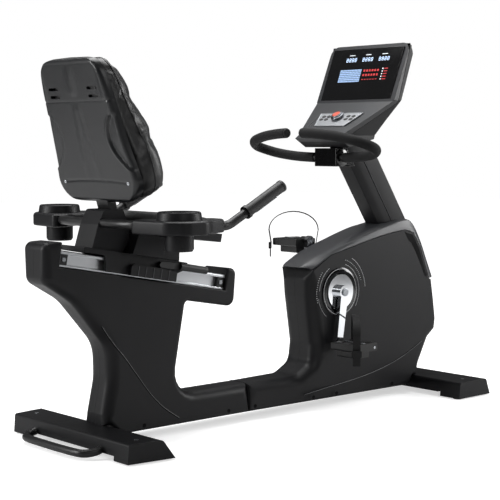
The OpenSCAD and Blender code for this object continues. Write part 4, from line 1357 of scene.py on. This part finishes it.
@dataclass
class Console(Assembly):
    """Console housing, display with its lit elements, control plate and knob.

    Attributes:
        deck: Middle of the control plate.
        deck_normal: Direction out of the control plate.
        deck_along: Direction up the control plate.
        groups: Sideways position of each number group.
        digits: Digits in a group.
        pitch: Distance between digits.
    """

    deck: Vector = field(default_factory=lambda: Vector((384.265, 0, 1000.978)))
    deck_normal: Vector = field(default_factory=lambda: Vector((-0.56444, 0, 0.825474)))
    deck_along: Vector = field(default_factory=lambda: Vector((0.825474, 0, 0.56444)))
    groups: tuple[float, ...] = (68, -11, -90)
    digits: int = 4
    pitch: float = 13.5

    def on_deck(self, along: float, y: float, lift: float) -> Vector:
        """Point on the control plate, along up its slope and y to the left."""
        return self.deck + self.deck_along * along + Vector((0, y, 0)) + self.deck_normal * lift

    def build(self) -> None:
        """Builds the console's pieces."""
        back = round_corners(cad_copy("console_back", "console_housing"), 1190, 40)
        self.keep(soften(back, 6), "frame", COVER, "console_housing")
        face = round_corners(cad_copy("console_face", "console_bezel"), 1190, 34)
        self.keep(soften(face, 3), "frame", BEZEL, "console_bezel")
        self.keep(softened("display_panel", "display_glass", 0.8), "frame", GLOSS, "display_glass")
        self.keep(softened("control_plate", "deck_plate", 0.8, 2), "frame", DECK, "deck_plate")
        self.keep(softened("start_knob", "console_knob", 2), "console_knob", KNOB, "console_knob")
        self.lit_elements()
        self.controls()

    def on_display(self, y: float, h: float, lift: float = 0.3) -> Vector:
        """Point on the display's face, y to the left and h above its middle."""
        up = Vector((math.sin(DISPLAY_LEAN), 0, math.cos(DISPLAY_LEAN)))
        out = Vector((-math.cos(DISPLAY_LEAN), 0, math.sin(DISPLAY_LEAN)))
        middle = DISPLAY_TOP - up * (DISPLAY_H / 2) - Vector((2.9, 0, 0))
        return middle + up * h + out * lift + Vector((0, y, 0))

    def lit_elements(self) -> None:
        """Builds the number groups, the matrix field and the indicators."""
        turn = (0, DISPLAY_LEAN, 0)
        tall, wide, thick = 6.4, 7.0, 1.5
        bars = [(0, tall, wide, thick), (0, 0, wide, thick), (0, -tall, wide, thick)]
        bars += [(sy * wide / 2, sh * tall / 2, thick, tall) for sy in SIDES for sh in SIDES]
        segments = []
        for group in self.groups:
            for i in range(self.digits):
                y0 = group + 20.2 - self.pitch * i
                for y, h, w, t in bars:
                    segments.append(Spot(self.on_display(y0 + y, 55 + h), turn, (0.6, w * 0.86, t * 0.92)))
        self.keep(scatter("number_segments", segments, unit_block(), LIT_BLUE), "frame", LIT_BLUE)
        field_spots = [
            Spot(self.on_display(106 - 7 * i, 15 - 7 * k), turn, (0.6, 5.4, 5.4))
            for i in range(15)
            for k in range(7)
        ]
        self.keep(scatter("matrix_field", field_spots, unit_block(), LIT_PANEL), "frame", LIT_PANEL)
        reds = [
            Spot(self.on_display(-10 - 13 * i, 12 - 17 * k), turn, (0.6, 7.5, 7.5 if k < 2 else 2.2))
            for i in range(6)
            for k in range(3)
        ]
        reds += [Spot(self.on_display(-112, 17 - 10 * k), turn, (0.6, 17, 2.6)) for k in range(5)]
        self.keep(scatter("red_indicators", reds, unit_block(), LIT_RED), "frame", LIT_RED)
        whites = [Spot(self.on_display(-97, 17 - 10 * k), turn, (0.6, 4, 4)) for k in range(5)]
        whites += [Spot(self.on_display(g + 1, 73), turn, (0.6, 26, 2)) for g in self.groups]
        self.keep(scatter("white_indicators", whites, unit_block(), LIT_WHITE), "frame", LIT_WHITE)

    def controls(self) -> None:
        """Builds the knob's red cap, the plate's rim and the deck buttons."""
        tilt = (0, -math.asin(-self.deck_normal.x), 0)
        top = Spot(self.deck + self.deck_normal * 15.6, tilt, (14.5, 14.5, 1.6))
        self.keep(scatter("start_cap", [top], plug_template(), RED), "console_knob", RED)
        plate = ((-52, -72), (26, -103), (26, 103), (-52, 72))
        rim = [self.on_deck(a, y, 1.6) for a, y in plate]
        self.keep(tube("control_plate_rim", rim, 1.6, DECK, loop=True, sides=10), "frame", DECK)
        spots = [
            Spot(self.on_deck(a, y, 1.2), tilt, (6.5, 9, 2.0))
            for y in (-72, -48, 48, 72)
            for a in (-12, 6)
        ]
        self.keep(scatter("deck_buttons", spots, plug_template(), SMALL), "frame", SMALL)


@dataclass
class Handlebar(Assembly):
    """Looped handlebar with foam grips.

    Attributes:
        radius: Radius of the bar.
        foam: Radius of the foam.
        guides: Guides of the bar from the middle to the left end.
    """

    radius: float = 12.7
    foam: float = 17.2
    guides: tuple[Point, ...] = (
        (347, 0, 862), (347, 50, 862), (338, 150, 866), (320, 228, 876), (290, 270, 890), (252, 278, 904),
        (214, 246, 921), (194, 176, 936), (180, 100, 944), (174, 44, 947),
    )  # fmt: skip

    def build(self) -> None:
        """Builds the bar and one grip for each side."""
        path = spline(self.guides, 8)
        self.keep(tube("bar", mirrored(path), self.radius, PAINT), "frame", PAINT, "handlebar_tube")
        start = int(len(path) * 0.15)
        for side in SIDES:
            line = [Vector((p.x, side * p.y, p.z)) for p in path[start:]]
            onward = (line[-1] - line[-2]).normalized()
            line += [line[-1] + onward * 6]
            nodes = ("handlebar_grips",) if side > 0 else ()
            grip = tube(f"bar_foam_{SIDE_NAME[side]}", line, self.foam, FOAM, sides=28)
            self.keep(soften(grip, 2.5, 2, 50), "frame", FOAM, *nodes)
            tip = line[-1]
            ends = [tip - onward * 1, tip + onward * 3.4]
            cap = tube(f"bar_cap_{SIDE_NAME[side]}", ends, self.foam - 1.6, SMALL)
            self.keep(soften(cap, 1.4, 2, 50), "frame", SMALL)


# ---------------------------------------------------------------- rail, carriage and seat
@dataclass
class Rail(Assembly):
    """Aluminium rail with its stops."""

    def build(self) -> None:
        """Builds the rail, its stops and their bolts."""
        self.keep(softened("rail_extrusion", "seat_rail", 0.9, 2), "frame", ALUMINIUM, "seat_rail")
        self.keep(softened("rail_stop_blocks", "rail_end_stops", 1.6, 2), "frame", SMALL, "rail_end_stops")
        self.keep(softened("rail_cap_bolts", "rail_bolts", 0.9, 2, 50), "frame", STEEL, "rail_bolts")


@dataclass
class Carriage(Assembly):
    """Sliding carriage, its lock and lever."""

    def build(self) -> None:
        """Builds the carriage's pieces."""
        self.keep(softened("carriage_skin", "carriage", 2.2), "seat", COVER, "carriage")
        self.keep(softened("lock_lever", "seat_lever", 2.4), "seat_lever", SMALL, "seat_lever")
        # Ribs drawn in the painted highlight grey, so they read lighter than the carriage
        places = (-46, -18, 12, 42, 72)
        ribs = [Spot(rail_point(u, -74.4, 20), (0, RAIL_TILT, 0), (2.0, 1.6, 30)) for u in places]
        self.keep(scatter("lock_ribs", ribs, unit_block(), EDGE), "seat", EDGE)


@dataclass
class SeatBase(Assembly):
    """Bracket, side arms with their grips, cup trays and the pan.

    Attributes:
        arm_guides: Guides of the arm tube, from the middle to the left end.
        cup: Centre of the left cup well seen from above.
    """

    arm_guides: tuple[Point, ...] = (
        (-657, 0, 676), (-657, 70, 676), (-655, 150, 676), (-636, 205, 676), (-600, 236, 674),
        (-552, 250, 672), (-500, 274, 671), (-455, 299, 670), (-420, 308, 669), (-388, 308, 672),
        (-350, 308, 690), (-250, 308, 742), (-180, 308, 779),
    )  # fmt: skip
    cup: tuple[float, float] = (-576, 308)

    def build(self) -> None:
        """Builds the pieces that hold the seat."""
        self.keep(softened("bracket_skin", "seat_bracket", 13, 5), "seat", COVER, "seat_bracket")
        self.keep(softened("pan_skin", "seat_pan", 4), "seat", COVER, "seat_pan")
        arms = tube("arm_tube", mirrored(spline(self.arm_guides, 8)), 14, PAINT, sides=24)
        self.keep(arms, "seat", PAINT, "side_arm_tube")
        self.keep(softened("arm_grips", "side_grips", 2.4, 3, 40), "seat", SMALL, "side_grips")
        self.keep(softened("pulse_sensor_plates", "pulse_plates", 1.2), "seat", CHROME, "pulse_plates")
        for side in SIDES:
            self.tray(side)

    def tray(self, side: int) -> None:
        """Builds one cup tray: a rounded body, a turned ring and the cup."""
        label = SIDE_NAME[side]
        corners = [
            (-672, 196, 16), (-622, 192, 12), (-586, 214, 20), (-500, 236, 30), (-424, 280, 18),
            (-424, 336, 20), (-500, 366, 70), (-536, 394, 40), (-616, 394, 40), (-656, 340, 60),
        ]  # fmt: skip
        steps = [(7, 652), (2, 653.5), (0, 658), (0, 684), (1.5, 689), (5, 692), (9, 693)]
        rings = [[(p.x, side * p.y, z) for p in rounded(inset(corners, d))] for d, z in steps]
        body = loft("tray_body", rings, closed=False)
        x, y = self.cup[0], side * self.cup[1]
        turned = [
            (39.5, 606), (39.5, 703), (41, 706), (52, 706), (54, 708), (54, 715), (56, 717.6), (60, 717.6),
            (62.5, 716), (64, 713), (66.5, 697), (68, 690), (66, 680), (60, 670), (42.5, 656), (42.5, 610),
            (38, 602.5), (0.5, 602.5), (0.5, 606),
        ]  # fmt: skip
        well = loft("tray_well", [[(x + a, y + b, z) for a, b in circle(r, 64)] for r, z in turned])
        drill = [[(x + a, y + b, z) for a, b in circle(45, 48)] for z in (600, 760)]
        cut(body, [loft("drill", drill, closed=False)])
        tray = even(join(f"cup_tray_{label}_skin", [body, well]))
        self.keep(tray, "seat", COVER, f"cup_tray_{label}")


# ---------------------------------------------------------------- upholstery and backrest
def outline_width(guides: Sequence[Point]) -> Callable[[float], float]:
    """Half width against height of a smooth half outline.

    Args:
        guides: Half outline from the foot to the top.

    Returns:
        Function from height to half width.
    """
    points = [(p.y, p.x) for p in spline(guides, 8)]

    def width(height: float) -> float:
        """Half width at a height."""
        best = 0.0
        for (h0, w0), (h1, w1) in zip(points, points[1:]):
            if min(h0, h1) <= height <= max(h0, h1) and h1 != h0:
                best = max(best, w0 + (w1 - w0) * (height - h0) / (h1 - h0))
        return best

    return width


def inflate(obj: Object, voxel: float, cap: float, pressure: float = 4.0) -> Object:
    """Swells a closed form as stuffed fabric by a short cloth simulation.

    Args:
        obj: Closed form, slightly smaller than the finished piece.
        voxel: Remesh size in millimetres.
        cap: Furthest a point may move, in millimetres.
        pressure: Pressure inside the cloth.

    Returns:
        The same object with the result in its mesh.
    """
    remesh = obj.modifiers.new("Remesh", "REMESH")
    remesh.mode = "VOXEL"
    remesh.voxel_size = voxel * MM
    bake(obj)
    rest = [v.co.copy() for v in obj.data.vertices]
    cloth = obj.modifiers.new("Cloth", "CLOTH")
    cloth.settings.use_pressure = True
    cloth.settings.uniform_pressure_force = pressure
    cloth.settings.effector_weights.gravity = 0
    cloth.settings.quality = 5
    cloth.settings.mass = 0.3
    cloth.point_cache.frame_start = 1
    cloth.point_cache.frame_end = 20
    scene = bpy.context.scene
    for frame_number in range(1, 21):
        scene.frame_set(frame_number)
    bake(obj)
    for vertex, start in zip(obj.data.vertices, rest):
        move = vertex.co - start
        if move.length > cap * MM:
            vertex.co = start + move.normalized() * (cap * MM)
    scene.frame_set(1)
    smooth = obj.modifiers.new("Smooth", "SMOOTH")
    smooth.iterations = 4
    smooth.factor = 0.5
    bake(obj)
    finer = obj.modifiers.new("Finer", "SUBSURF")
    finer.levels = 1
    bake(obj)
    obj.data.shade_smooth()
    return obj


def on_surface(obj: Object, path: Sequence[Vector]) -> list[Vector]:
    """Path moved onto an object's surface.

    Args:
        obj: Object with its final mesh.
        path: Points in millimetres, near the surface.

    Returns:
        Closest points on the surface, in millimetres.
    """
    return [obj.closest_point_on_mesh(p * MM)[1] / MM for p in path]


@dataclass
class SeatCushion(Assembly):
    """Seat cushion: a crowned pad with a waterfall front and piping."""

    def outline(self, depth: float) -> list[Vector]:
        """Plan of the pad moved in by depth."""
        corners = [(-554, -203, 34), (-309, -203, 52), (-309, 203, 52), (-554, 203, 34)]
        return rounded(inset(corners, depth), 8)

    def height(self, x: float, share: float) -> float:
        """Height at x, from the underside at nought to the crown at one."""
        low = 653 - (x + 556) * 15.5 / 238
        top = 698 - 8 * blend01(-520, -420, x) - 20 * blend01(-430, -300, x)
        return low + (top - low) * share

    def build(self) -> None:
        """Builds the cushion and its piping."""
        steps = [(9, 0), (3, 0.1), (1, 0.3), (1, 0.55), (4, 0.76), (12, 0.9), (28, 0.97), (60, 1.0)]
        rings = [[(p.x, p.y, self.height(p.x, share)) for p in self.outline(depth)] for depth, share in steps]
        pad = loft("seat_cushion", rings, closed=False)
        inflate(pad, 5, 9)
        self.keep(pad, "seat", VINYL, "seat_pad")
        line = on_surface(pad, [Vector((p.x, p.y, self.height(p.x, 0.34))) for p in self.outline(0)])
        self.keep(tube("seat_piping", line, 2.2, PIPING, loop=True, sides=10), "seat", PIPING)


# Half outlines of the cushion and the shell: half width and height, from the foot to the top
PAD_GUIDES = [
    (0, 0), (90, 0), (150, 3), (188, 18), (207, 48), (213, 92), (210, 130), (199, 175), (187, 225),
    (176, 275), (163, 325), (147, 375), (128, 415), (104, 438), (70, 445), (0, 446),
]  # fmt: skip
SHELL_GUIDES = [
    (0, 0), (60, 0), (120, 4), (162, 14), (192, 36), (205, 66), (200, 105), (189, 160), (182, 210),
    (177, 265), (172, 315), (166, 365), (155, 410), (134, 434), (100, 443), (50, 445), (0, 445),
]  # fmt: skip


@dataclass
class Backrest(Assembly):
    """Backrest cushion, moulded rear shell and their fittings.

    Attributes:
        middle: Height that the cushion's roundings gather towards.
    """

    middle: float = 130

    def build(self) -> None:
        """Builds the backrest's pieces."""
        self.cushion()
        self.shell()
        self.keep(softened("backrest_steel", "backrest_post", 2), "seat", PAINT, "backrest_post")

    def crown(self, s: float) -> float:
        """Thickness of the cushion at height s, fullest at the lower back."""
        return 66 + 18 * (1 - blend01(330, 440, s)) + 18 * (1 - blend01(190, 310, s))

    def ring(self, factor: float, depth: Callable[[float], float]) -> list[Vector]:
        """Outline of the cushion drawn in by a factor, at a depth that varies with height."""
        half = spline(PAD_GUIDES, 4)
        whole = half + [Vector((-p.x, p.y)) for p in reversed(half[1:-1])]
        points = []
        for p in whole:
            s = self.middle + (p.y - self.middle) * factor
            points.append(back_point(depth(s), p.x * factor, s))
        return points

    def cushion(self) -> None:
        """Builds the cushion and the piping along its side."""
        back = [(0.95, 5), (0.98, 8), (0.99, 18), (0.995, 34), (0.995, 54)]
        rings = [self.ring(factor, lambda s, t=t: t) for factor, t in back]
        front = [(0.985, 0.36), (0.96, 0.64), (0.915, 0.85), (0.83, 0.96), (0.6, 1.0)]
        rings += [self.ring(f, lambda s, g=g: 54 + (self.crown(s) - 54) * g) for f, g in front]
        pad = loft("backrest_cushion", rings, closed=False)
        inflate(pad, 6, 14)
        self.keep(pad, "seat", VINYL, "backrest_pad")
        line = on_surface(pad, self.ring(1.0, lambda s: 52))
        self.keep(tube("backrest_piping", line, 2.0, PIPING, loop=True, sides=10), "seat", PIPING)

    def relief(self, y: float, s: float) -> float:
        """Depth that the shell's rear face is pressed in at a point."""
        side = abs(y)
        depth = 1.6 * blend01(316, 319.5, s) + 2.2 * math.exp(-(((s - 317.5) / 2.0) ** 2))
        # Scooped leaf beside the shell's edge, deepest along its inner curve
        share = max(0.0, min(1.0, (s - 98) / 182))
        inner = 205 - 44 * share - 62 * math.sin(math.pi * share) ** 0.75
        leaf = blend01(0, 7, side - inner) * blend01(96, 104, s) * (1 - blend01(268, 282, s))
        depth += 6.5 * leaf * (1 - 0.75 * blend01(8, 70, side - inner))
        reach = blend01(96, 110, s) * (1 - blend01(262, 280, s))
        depth -= 1.6 * math.exp(-(((side - inner + 3) / 3.5) ** 2)) * reach
        # Pair of soft ridges up the middle
        ridge = 8 + 20 * (1 - blend01(80, 320, s))
        reach = (1 - blend01(290, 316, s)) * blend01(60, 140, s)
        depth -= 1.8 * math.exp(-(((side - ridge) / 12) ** 2)) * reach
        depth -= 2.4 * math.exp(-((side / 18) ** 2)) * blend01(328, 350, s) * (1 - blend01(390, 440, s))
        # Raised rim round the upper panel
        depth -= 1.6 * blend01(134, 146, side) * blend01(318, 326, s)
        crease = 74 - 6 * (side / 160) ** 2
        depth += 1.8 * math.exp(-(((s - crease) / 3.5) ** 2)) * (1 - blend01(150, 176, side))
        return depth

    def shell(self) -> None:
        """Builds the rear shell as one fine sheet with its relief, then cuts the vents."""
        width = outline_width(SHELL_GUIDES)
        rows, columns, round_off = 150, 120, 20.0
        points, faces = [], []
        for j in range(rows + 1):
            v = j / rows
            s = BACK_LEN * (0.5 - 0.5 * math.cos(math.pi * v)) * 0.35 + BACK_LEN * v * 0.65
            w = width(max(0.05, min(BACK_LEN - 0.05, s)))
            for i in range(columns + 1):
                u = 2 * i / columns - 1
                u = math.copysign(abs(u) ** 0.85, u)
                edge = min((1 - abs(u)) * w, s, BACK_LEN - s, round_off) / round_off
                dome = 24 * (1 - math.sqrt(max(0.0, 1 - (1 - edge) ** 2)))
                t = -19.6 + dome + self.relief(u * w, s) * edge**0.5
                points.append(back_point(min(t, 4), u * w, s))
        stride = columns + 1
        for j in range(rows):
            for i in range(columns):
                a = j * stride + i
                faces.append((a, a + 1, a + 1 + stride, a + stride))
        border = list(range(stride))
        border += [j * stride + columns for j in range(1, rows + 1)]
        border += [rows * stride + i for i in range(columns - 1, -1, -1)]
        border += [j * stride for j in range(rows - 1, 0, -1)]
        faces.append(tuple(border))
        shell = from_points("backrest_shell_skin", points, faces, 40)
        cutters = []
        for side in SIDES:
            for s in (328, 352):
                ring = rounded([(74, s, 4), (124, s, 4), (124, s + 9, 4), (74, s + 9, 4)], 4)
                rings = [[back_point(t, side * p.x, p.y) for p in ring] for t in (-40, 3.2)]
                cutters.append(loft("slot", rings, closed=False))
        self.keep(cut(shell, cutters), "seat", SHELL, "backrest_shell")
        turn = (0, math.atan2(-math.cos(BACK_LEAN), -math.sin(BACK_LEAN)), 0)
        spots = [Spot(back_point(-18.6, side * 162, 66), turn, (5.5, 5.5, 1.6)) for side in SIDES]
        self.keep(scatter("shell_screws", spots, plug_template(), STEEL), "seat", STEEL)


# ---------------------------------------------------------------- cranks and pedals
@dataclass
class Cranks(Assembly):
    """Chromed crank arms, their cap bolts and the pedals with toe straps."""

    def pedal_at(self, side: int) -> Vector:
        """Centre line of the pedal spindle on one side."""
        return CRANK + side * CRANK_LEN * Vector((math.sin(CRANK_LEAN), 0, math.cos(CRANK_LEAN)))

    def build(self) -> None:
        """Builds the cranks, the pedals and their tread."""
        self.keep(softened("crank_forgings", "crank_arms", 3, 4), "crankset", CHROME, "crank_arms")
        self.keep(softened("crank_caps", "crank_bolts", 1.6, 3), "crankset", STEEL, "crank_bolts")
        for side in SIDES:
            label = SIDE_NAME[side]
            body = f"pedal_{label}"
            self.keep(softened(f"{body}_block", body, 2.2), body, SMALL, body)
            strap = f"pedal_strap_{label}"
            self.keep(softened(f"{strap}_band", strap, 0.9, 2), body, RUBBER, strap)
            hub = self.pedal_at(side)
            spots = [
                Spot((hub.x - 44 + 11 * i, side * (172 + 30 * k), hub.z + 4.6), size=(4, 22, 2.0))
                for i in range(9)
                for k in (-1, 1)
            ]
            self.keep(scatter(f"pedal_tread_{label}", spots, unit_block(), SMALL), body, SMALL)
            spots = [
                Spot((hub.x + a, side * 231.6, hub.z - 11), (-side * math.pi / 2, 0, 0), (4.5, 4.5, 1.2))
                for a in (-38, 38)
            ]
            self.keep(scatter(f"pedal_reflector_pins_{label}", spots, plug_template(), STEEL), body, STEEL)


# ---------------------------------------------------------------- studio
@dataclass(frozen=True)
class Softbox:
    """Area lamp aimed at the machine.

    Attributes:
        at: Position in metres.
        size: Width and height in metres.
        power: Power in watts.
    """

    at: Point
    size: tuple[float, float]
    power: float

    def place(self, index: int) -> None:
        """Adds the lamp to the scene."""
        data = bpy.data.lights.new(f"softbox_{index}", "AREA")
        data.shape = "RECTANGLE"
        data.size, data.size_y = self.size
        data.energy = self.power
        lamp = bpy.data.objects.new(data.name, data)
        bpy.context.scene.collection.objects.link(lamp)
        lamp.location = self.at
        lamp.rotation_euler = (Vector((0, 0, 0.6)) - Vector(self.at)).to_track_quat("-Z", "Y").to_euler()


@dataclass
class Studio:
    """Pale floor, soft light and the camera.

    Attributes:
        lens: Focal length in millimetres on a 36 mm sensor.
        floor_reach: Half the floor's width in metres.
        eye: Camera position in metres.
        heading: Direction of view from X towards Y, in degrees.
        pitch: Angle below the horizon in degrees.
        roll: Roll in degrees.
        softboxes: Lamps round the machine.
    """

    lens: float = 97.173
    floor_reach: float = 14
    eye: tuple[float, float, float] = (-3.00484, -3.34313, 0.91868)
    heading: float = 48.3268323
    pitch: float = 4.59684848
    roll: float = -0.0686300518
    softboxes: tuple[Softbox, ...] = (
        Softbox((0.2, 0.5, 3.2), (3.2, 2.2), 135),
        Softbox((-3.6, 1.7, 1.8), (1.2, 2.4), 120),
        Softbox((-1.6, -4.4, 2.6), (2.2, 1.6), 34),
        Softbox((3.3, -2.0, 1.7), (1.0, 2.4), 95),
    )

    def build(self) -> None:
        """Builds the floor, the light and the camera."""
        mesh = bpy.data.meshes.new("studio_floor")
        corners = ((-1, -1), (1, -1), (1, 1), (-1, 1))
        points = [(x * self.floor_reach, y * self.floor_reach, 0) for x, y in corners]
        mesh.from_pydata(points, [], [(0, 1, 2, 3)])
        floor = link_mesh("studio_floor", mesh)
        paper = Paper("pale_studio_paper", Slot.COVER, "#dcdcdc", 0.9)
        mesh.materials.append(paper.material())
        for index, lamp in enumerate(self.softboxes):
            lamp.place(index)
        self.sky()
        self.camera()

    def sky(self) -> None:
        """Pale surroundings that look white and light the machine more from above."""
        world = bpy.data.worlds.new("studio")
        bpy.context.scene.world = world
        world.use_nodes = True
        tree = world.node_tree
        tree.nodes.clear()
        coords = add_node(tree, "ShaderNodeTexCoord").outputs["Generated"]
        height = add_node(tree, "ShaderNodeSeparateXYZ", {0: coords}).outputs["Z"]
        span = {"Value": height, "From Min": -0.1, "From Max": 1.0, "To Min": 0.03, "To Max": 0.24}
        level = add_node(tree, "ShaderNodeMapRange", span).outputs[0]
        seen = add_node(tree, "ShaderNodeLightPath").outputs["Is Camera Ray"]
        mix = add_node(tree, "ShaderNodeMix", {"Factor": seen, 2: level, 3: 1.0}, data_type="FLOAT")
        strength = mix.outputs[0]
        glow = add_node(tree, "ShaderNodeBackground", {"Color": (1, 1, 1, 1), "Strength": strength})
        add_node(tree, "ShaderNodeOutputWorld", {0: glow.outputs[0]})

    def camera(self) -> None:
        """Sets up the camera."""
        turn, drop, roll = (math.radians(v) for v in (self.heading, self.pitch, self.roll))
        ahead = Vector((math.cos(turn) * math.cos(drop), math.sin(turn) * math.cos(drop), -math.sin(drop)))
        right = Vector((math.sin(turn), -math.cos(turn), 0))
        above = right.cross(ahead)
        rolled = right * math.cos(roll) + above * math.sin(roll)
        upward = above * math.cos(roll) - right * math.sin(roll)
        data = bpy.data.cameras.new("camera")
        data.lens = self.lens
        data.sensor_width = 36
        data.clip_start = 0.05
        cam = bpy.data.objects.new("camera", data)
        bpy.context.scene.collection.objects.link(cam)
        turned = Matrix((rolled, upward, -ahead)).transposed().to_4x4()
        cam.matrix_world = Matrix.Translation(self.eye) @ turned
        bpy.context.scene.camera = cam
        bpy.context.scene.view_settings.view_transform = "Standard"


def dress_nodes() -> None:
    """Gives every CAD node its finish."""
    for finish, names in NODE_FINISH.items():
        for name in names.split():
            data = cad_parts[name].data
            data.materials.clear()
            data.materials.append(finish.material())


def main() -> None:
    """Builds, dresses and lights the machine."""
    logging.basicConfig(level=logging.INFO, format="%(message)s")
    dress_nodes()
    assemblies = [
        FloorFrame(), ColumnHousing(), DriveHousing(), Mast(), Console(), Handlebar(), Rail(), Carriage(),
        SeatBase(), SeatCushion(), Backrest(), Cranks(),
    ]  # fmt: skip
    for assembly in assemblies:
        LOG.info("-- %s", type(assembly).__name__)
        assembly.build()
        assembly.dress()
    Studio().build()


if __name__ == "__main__":
    main()
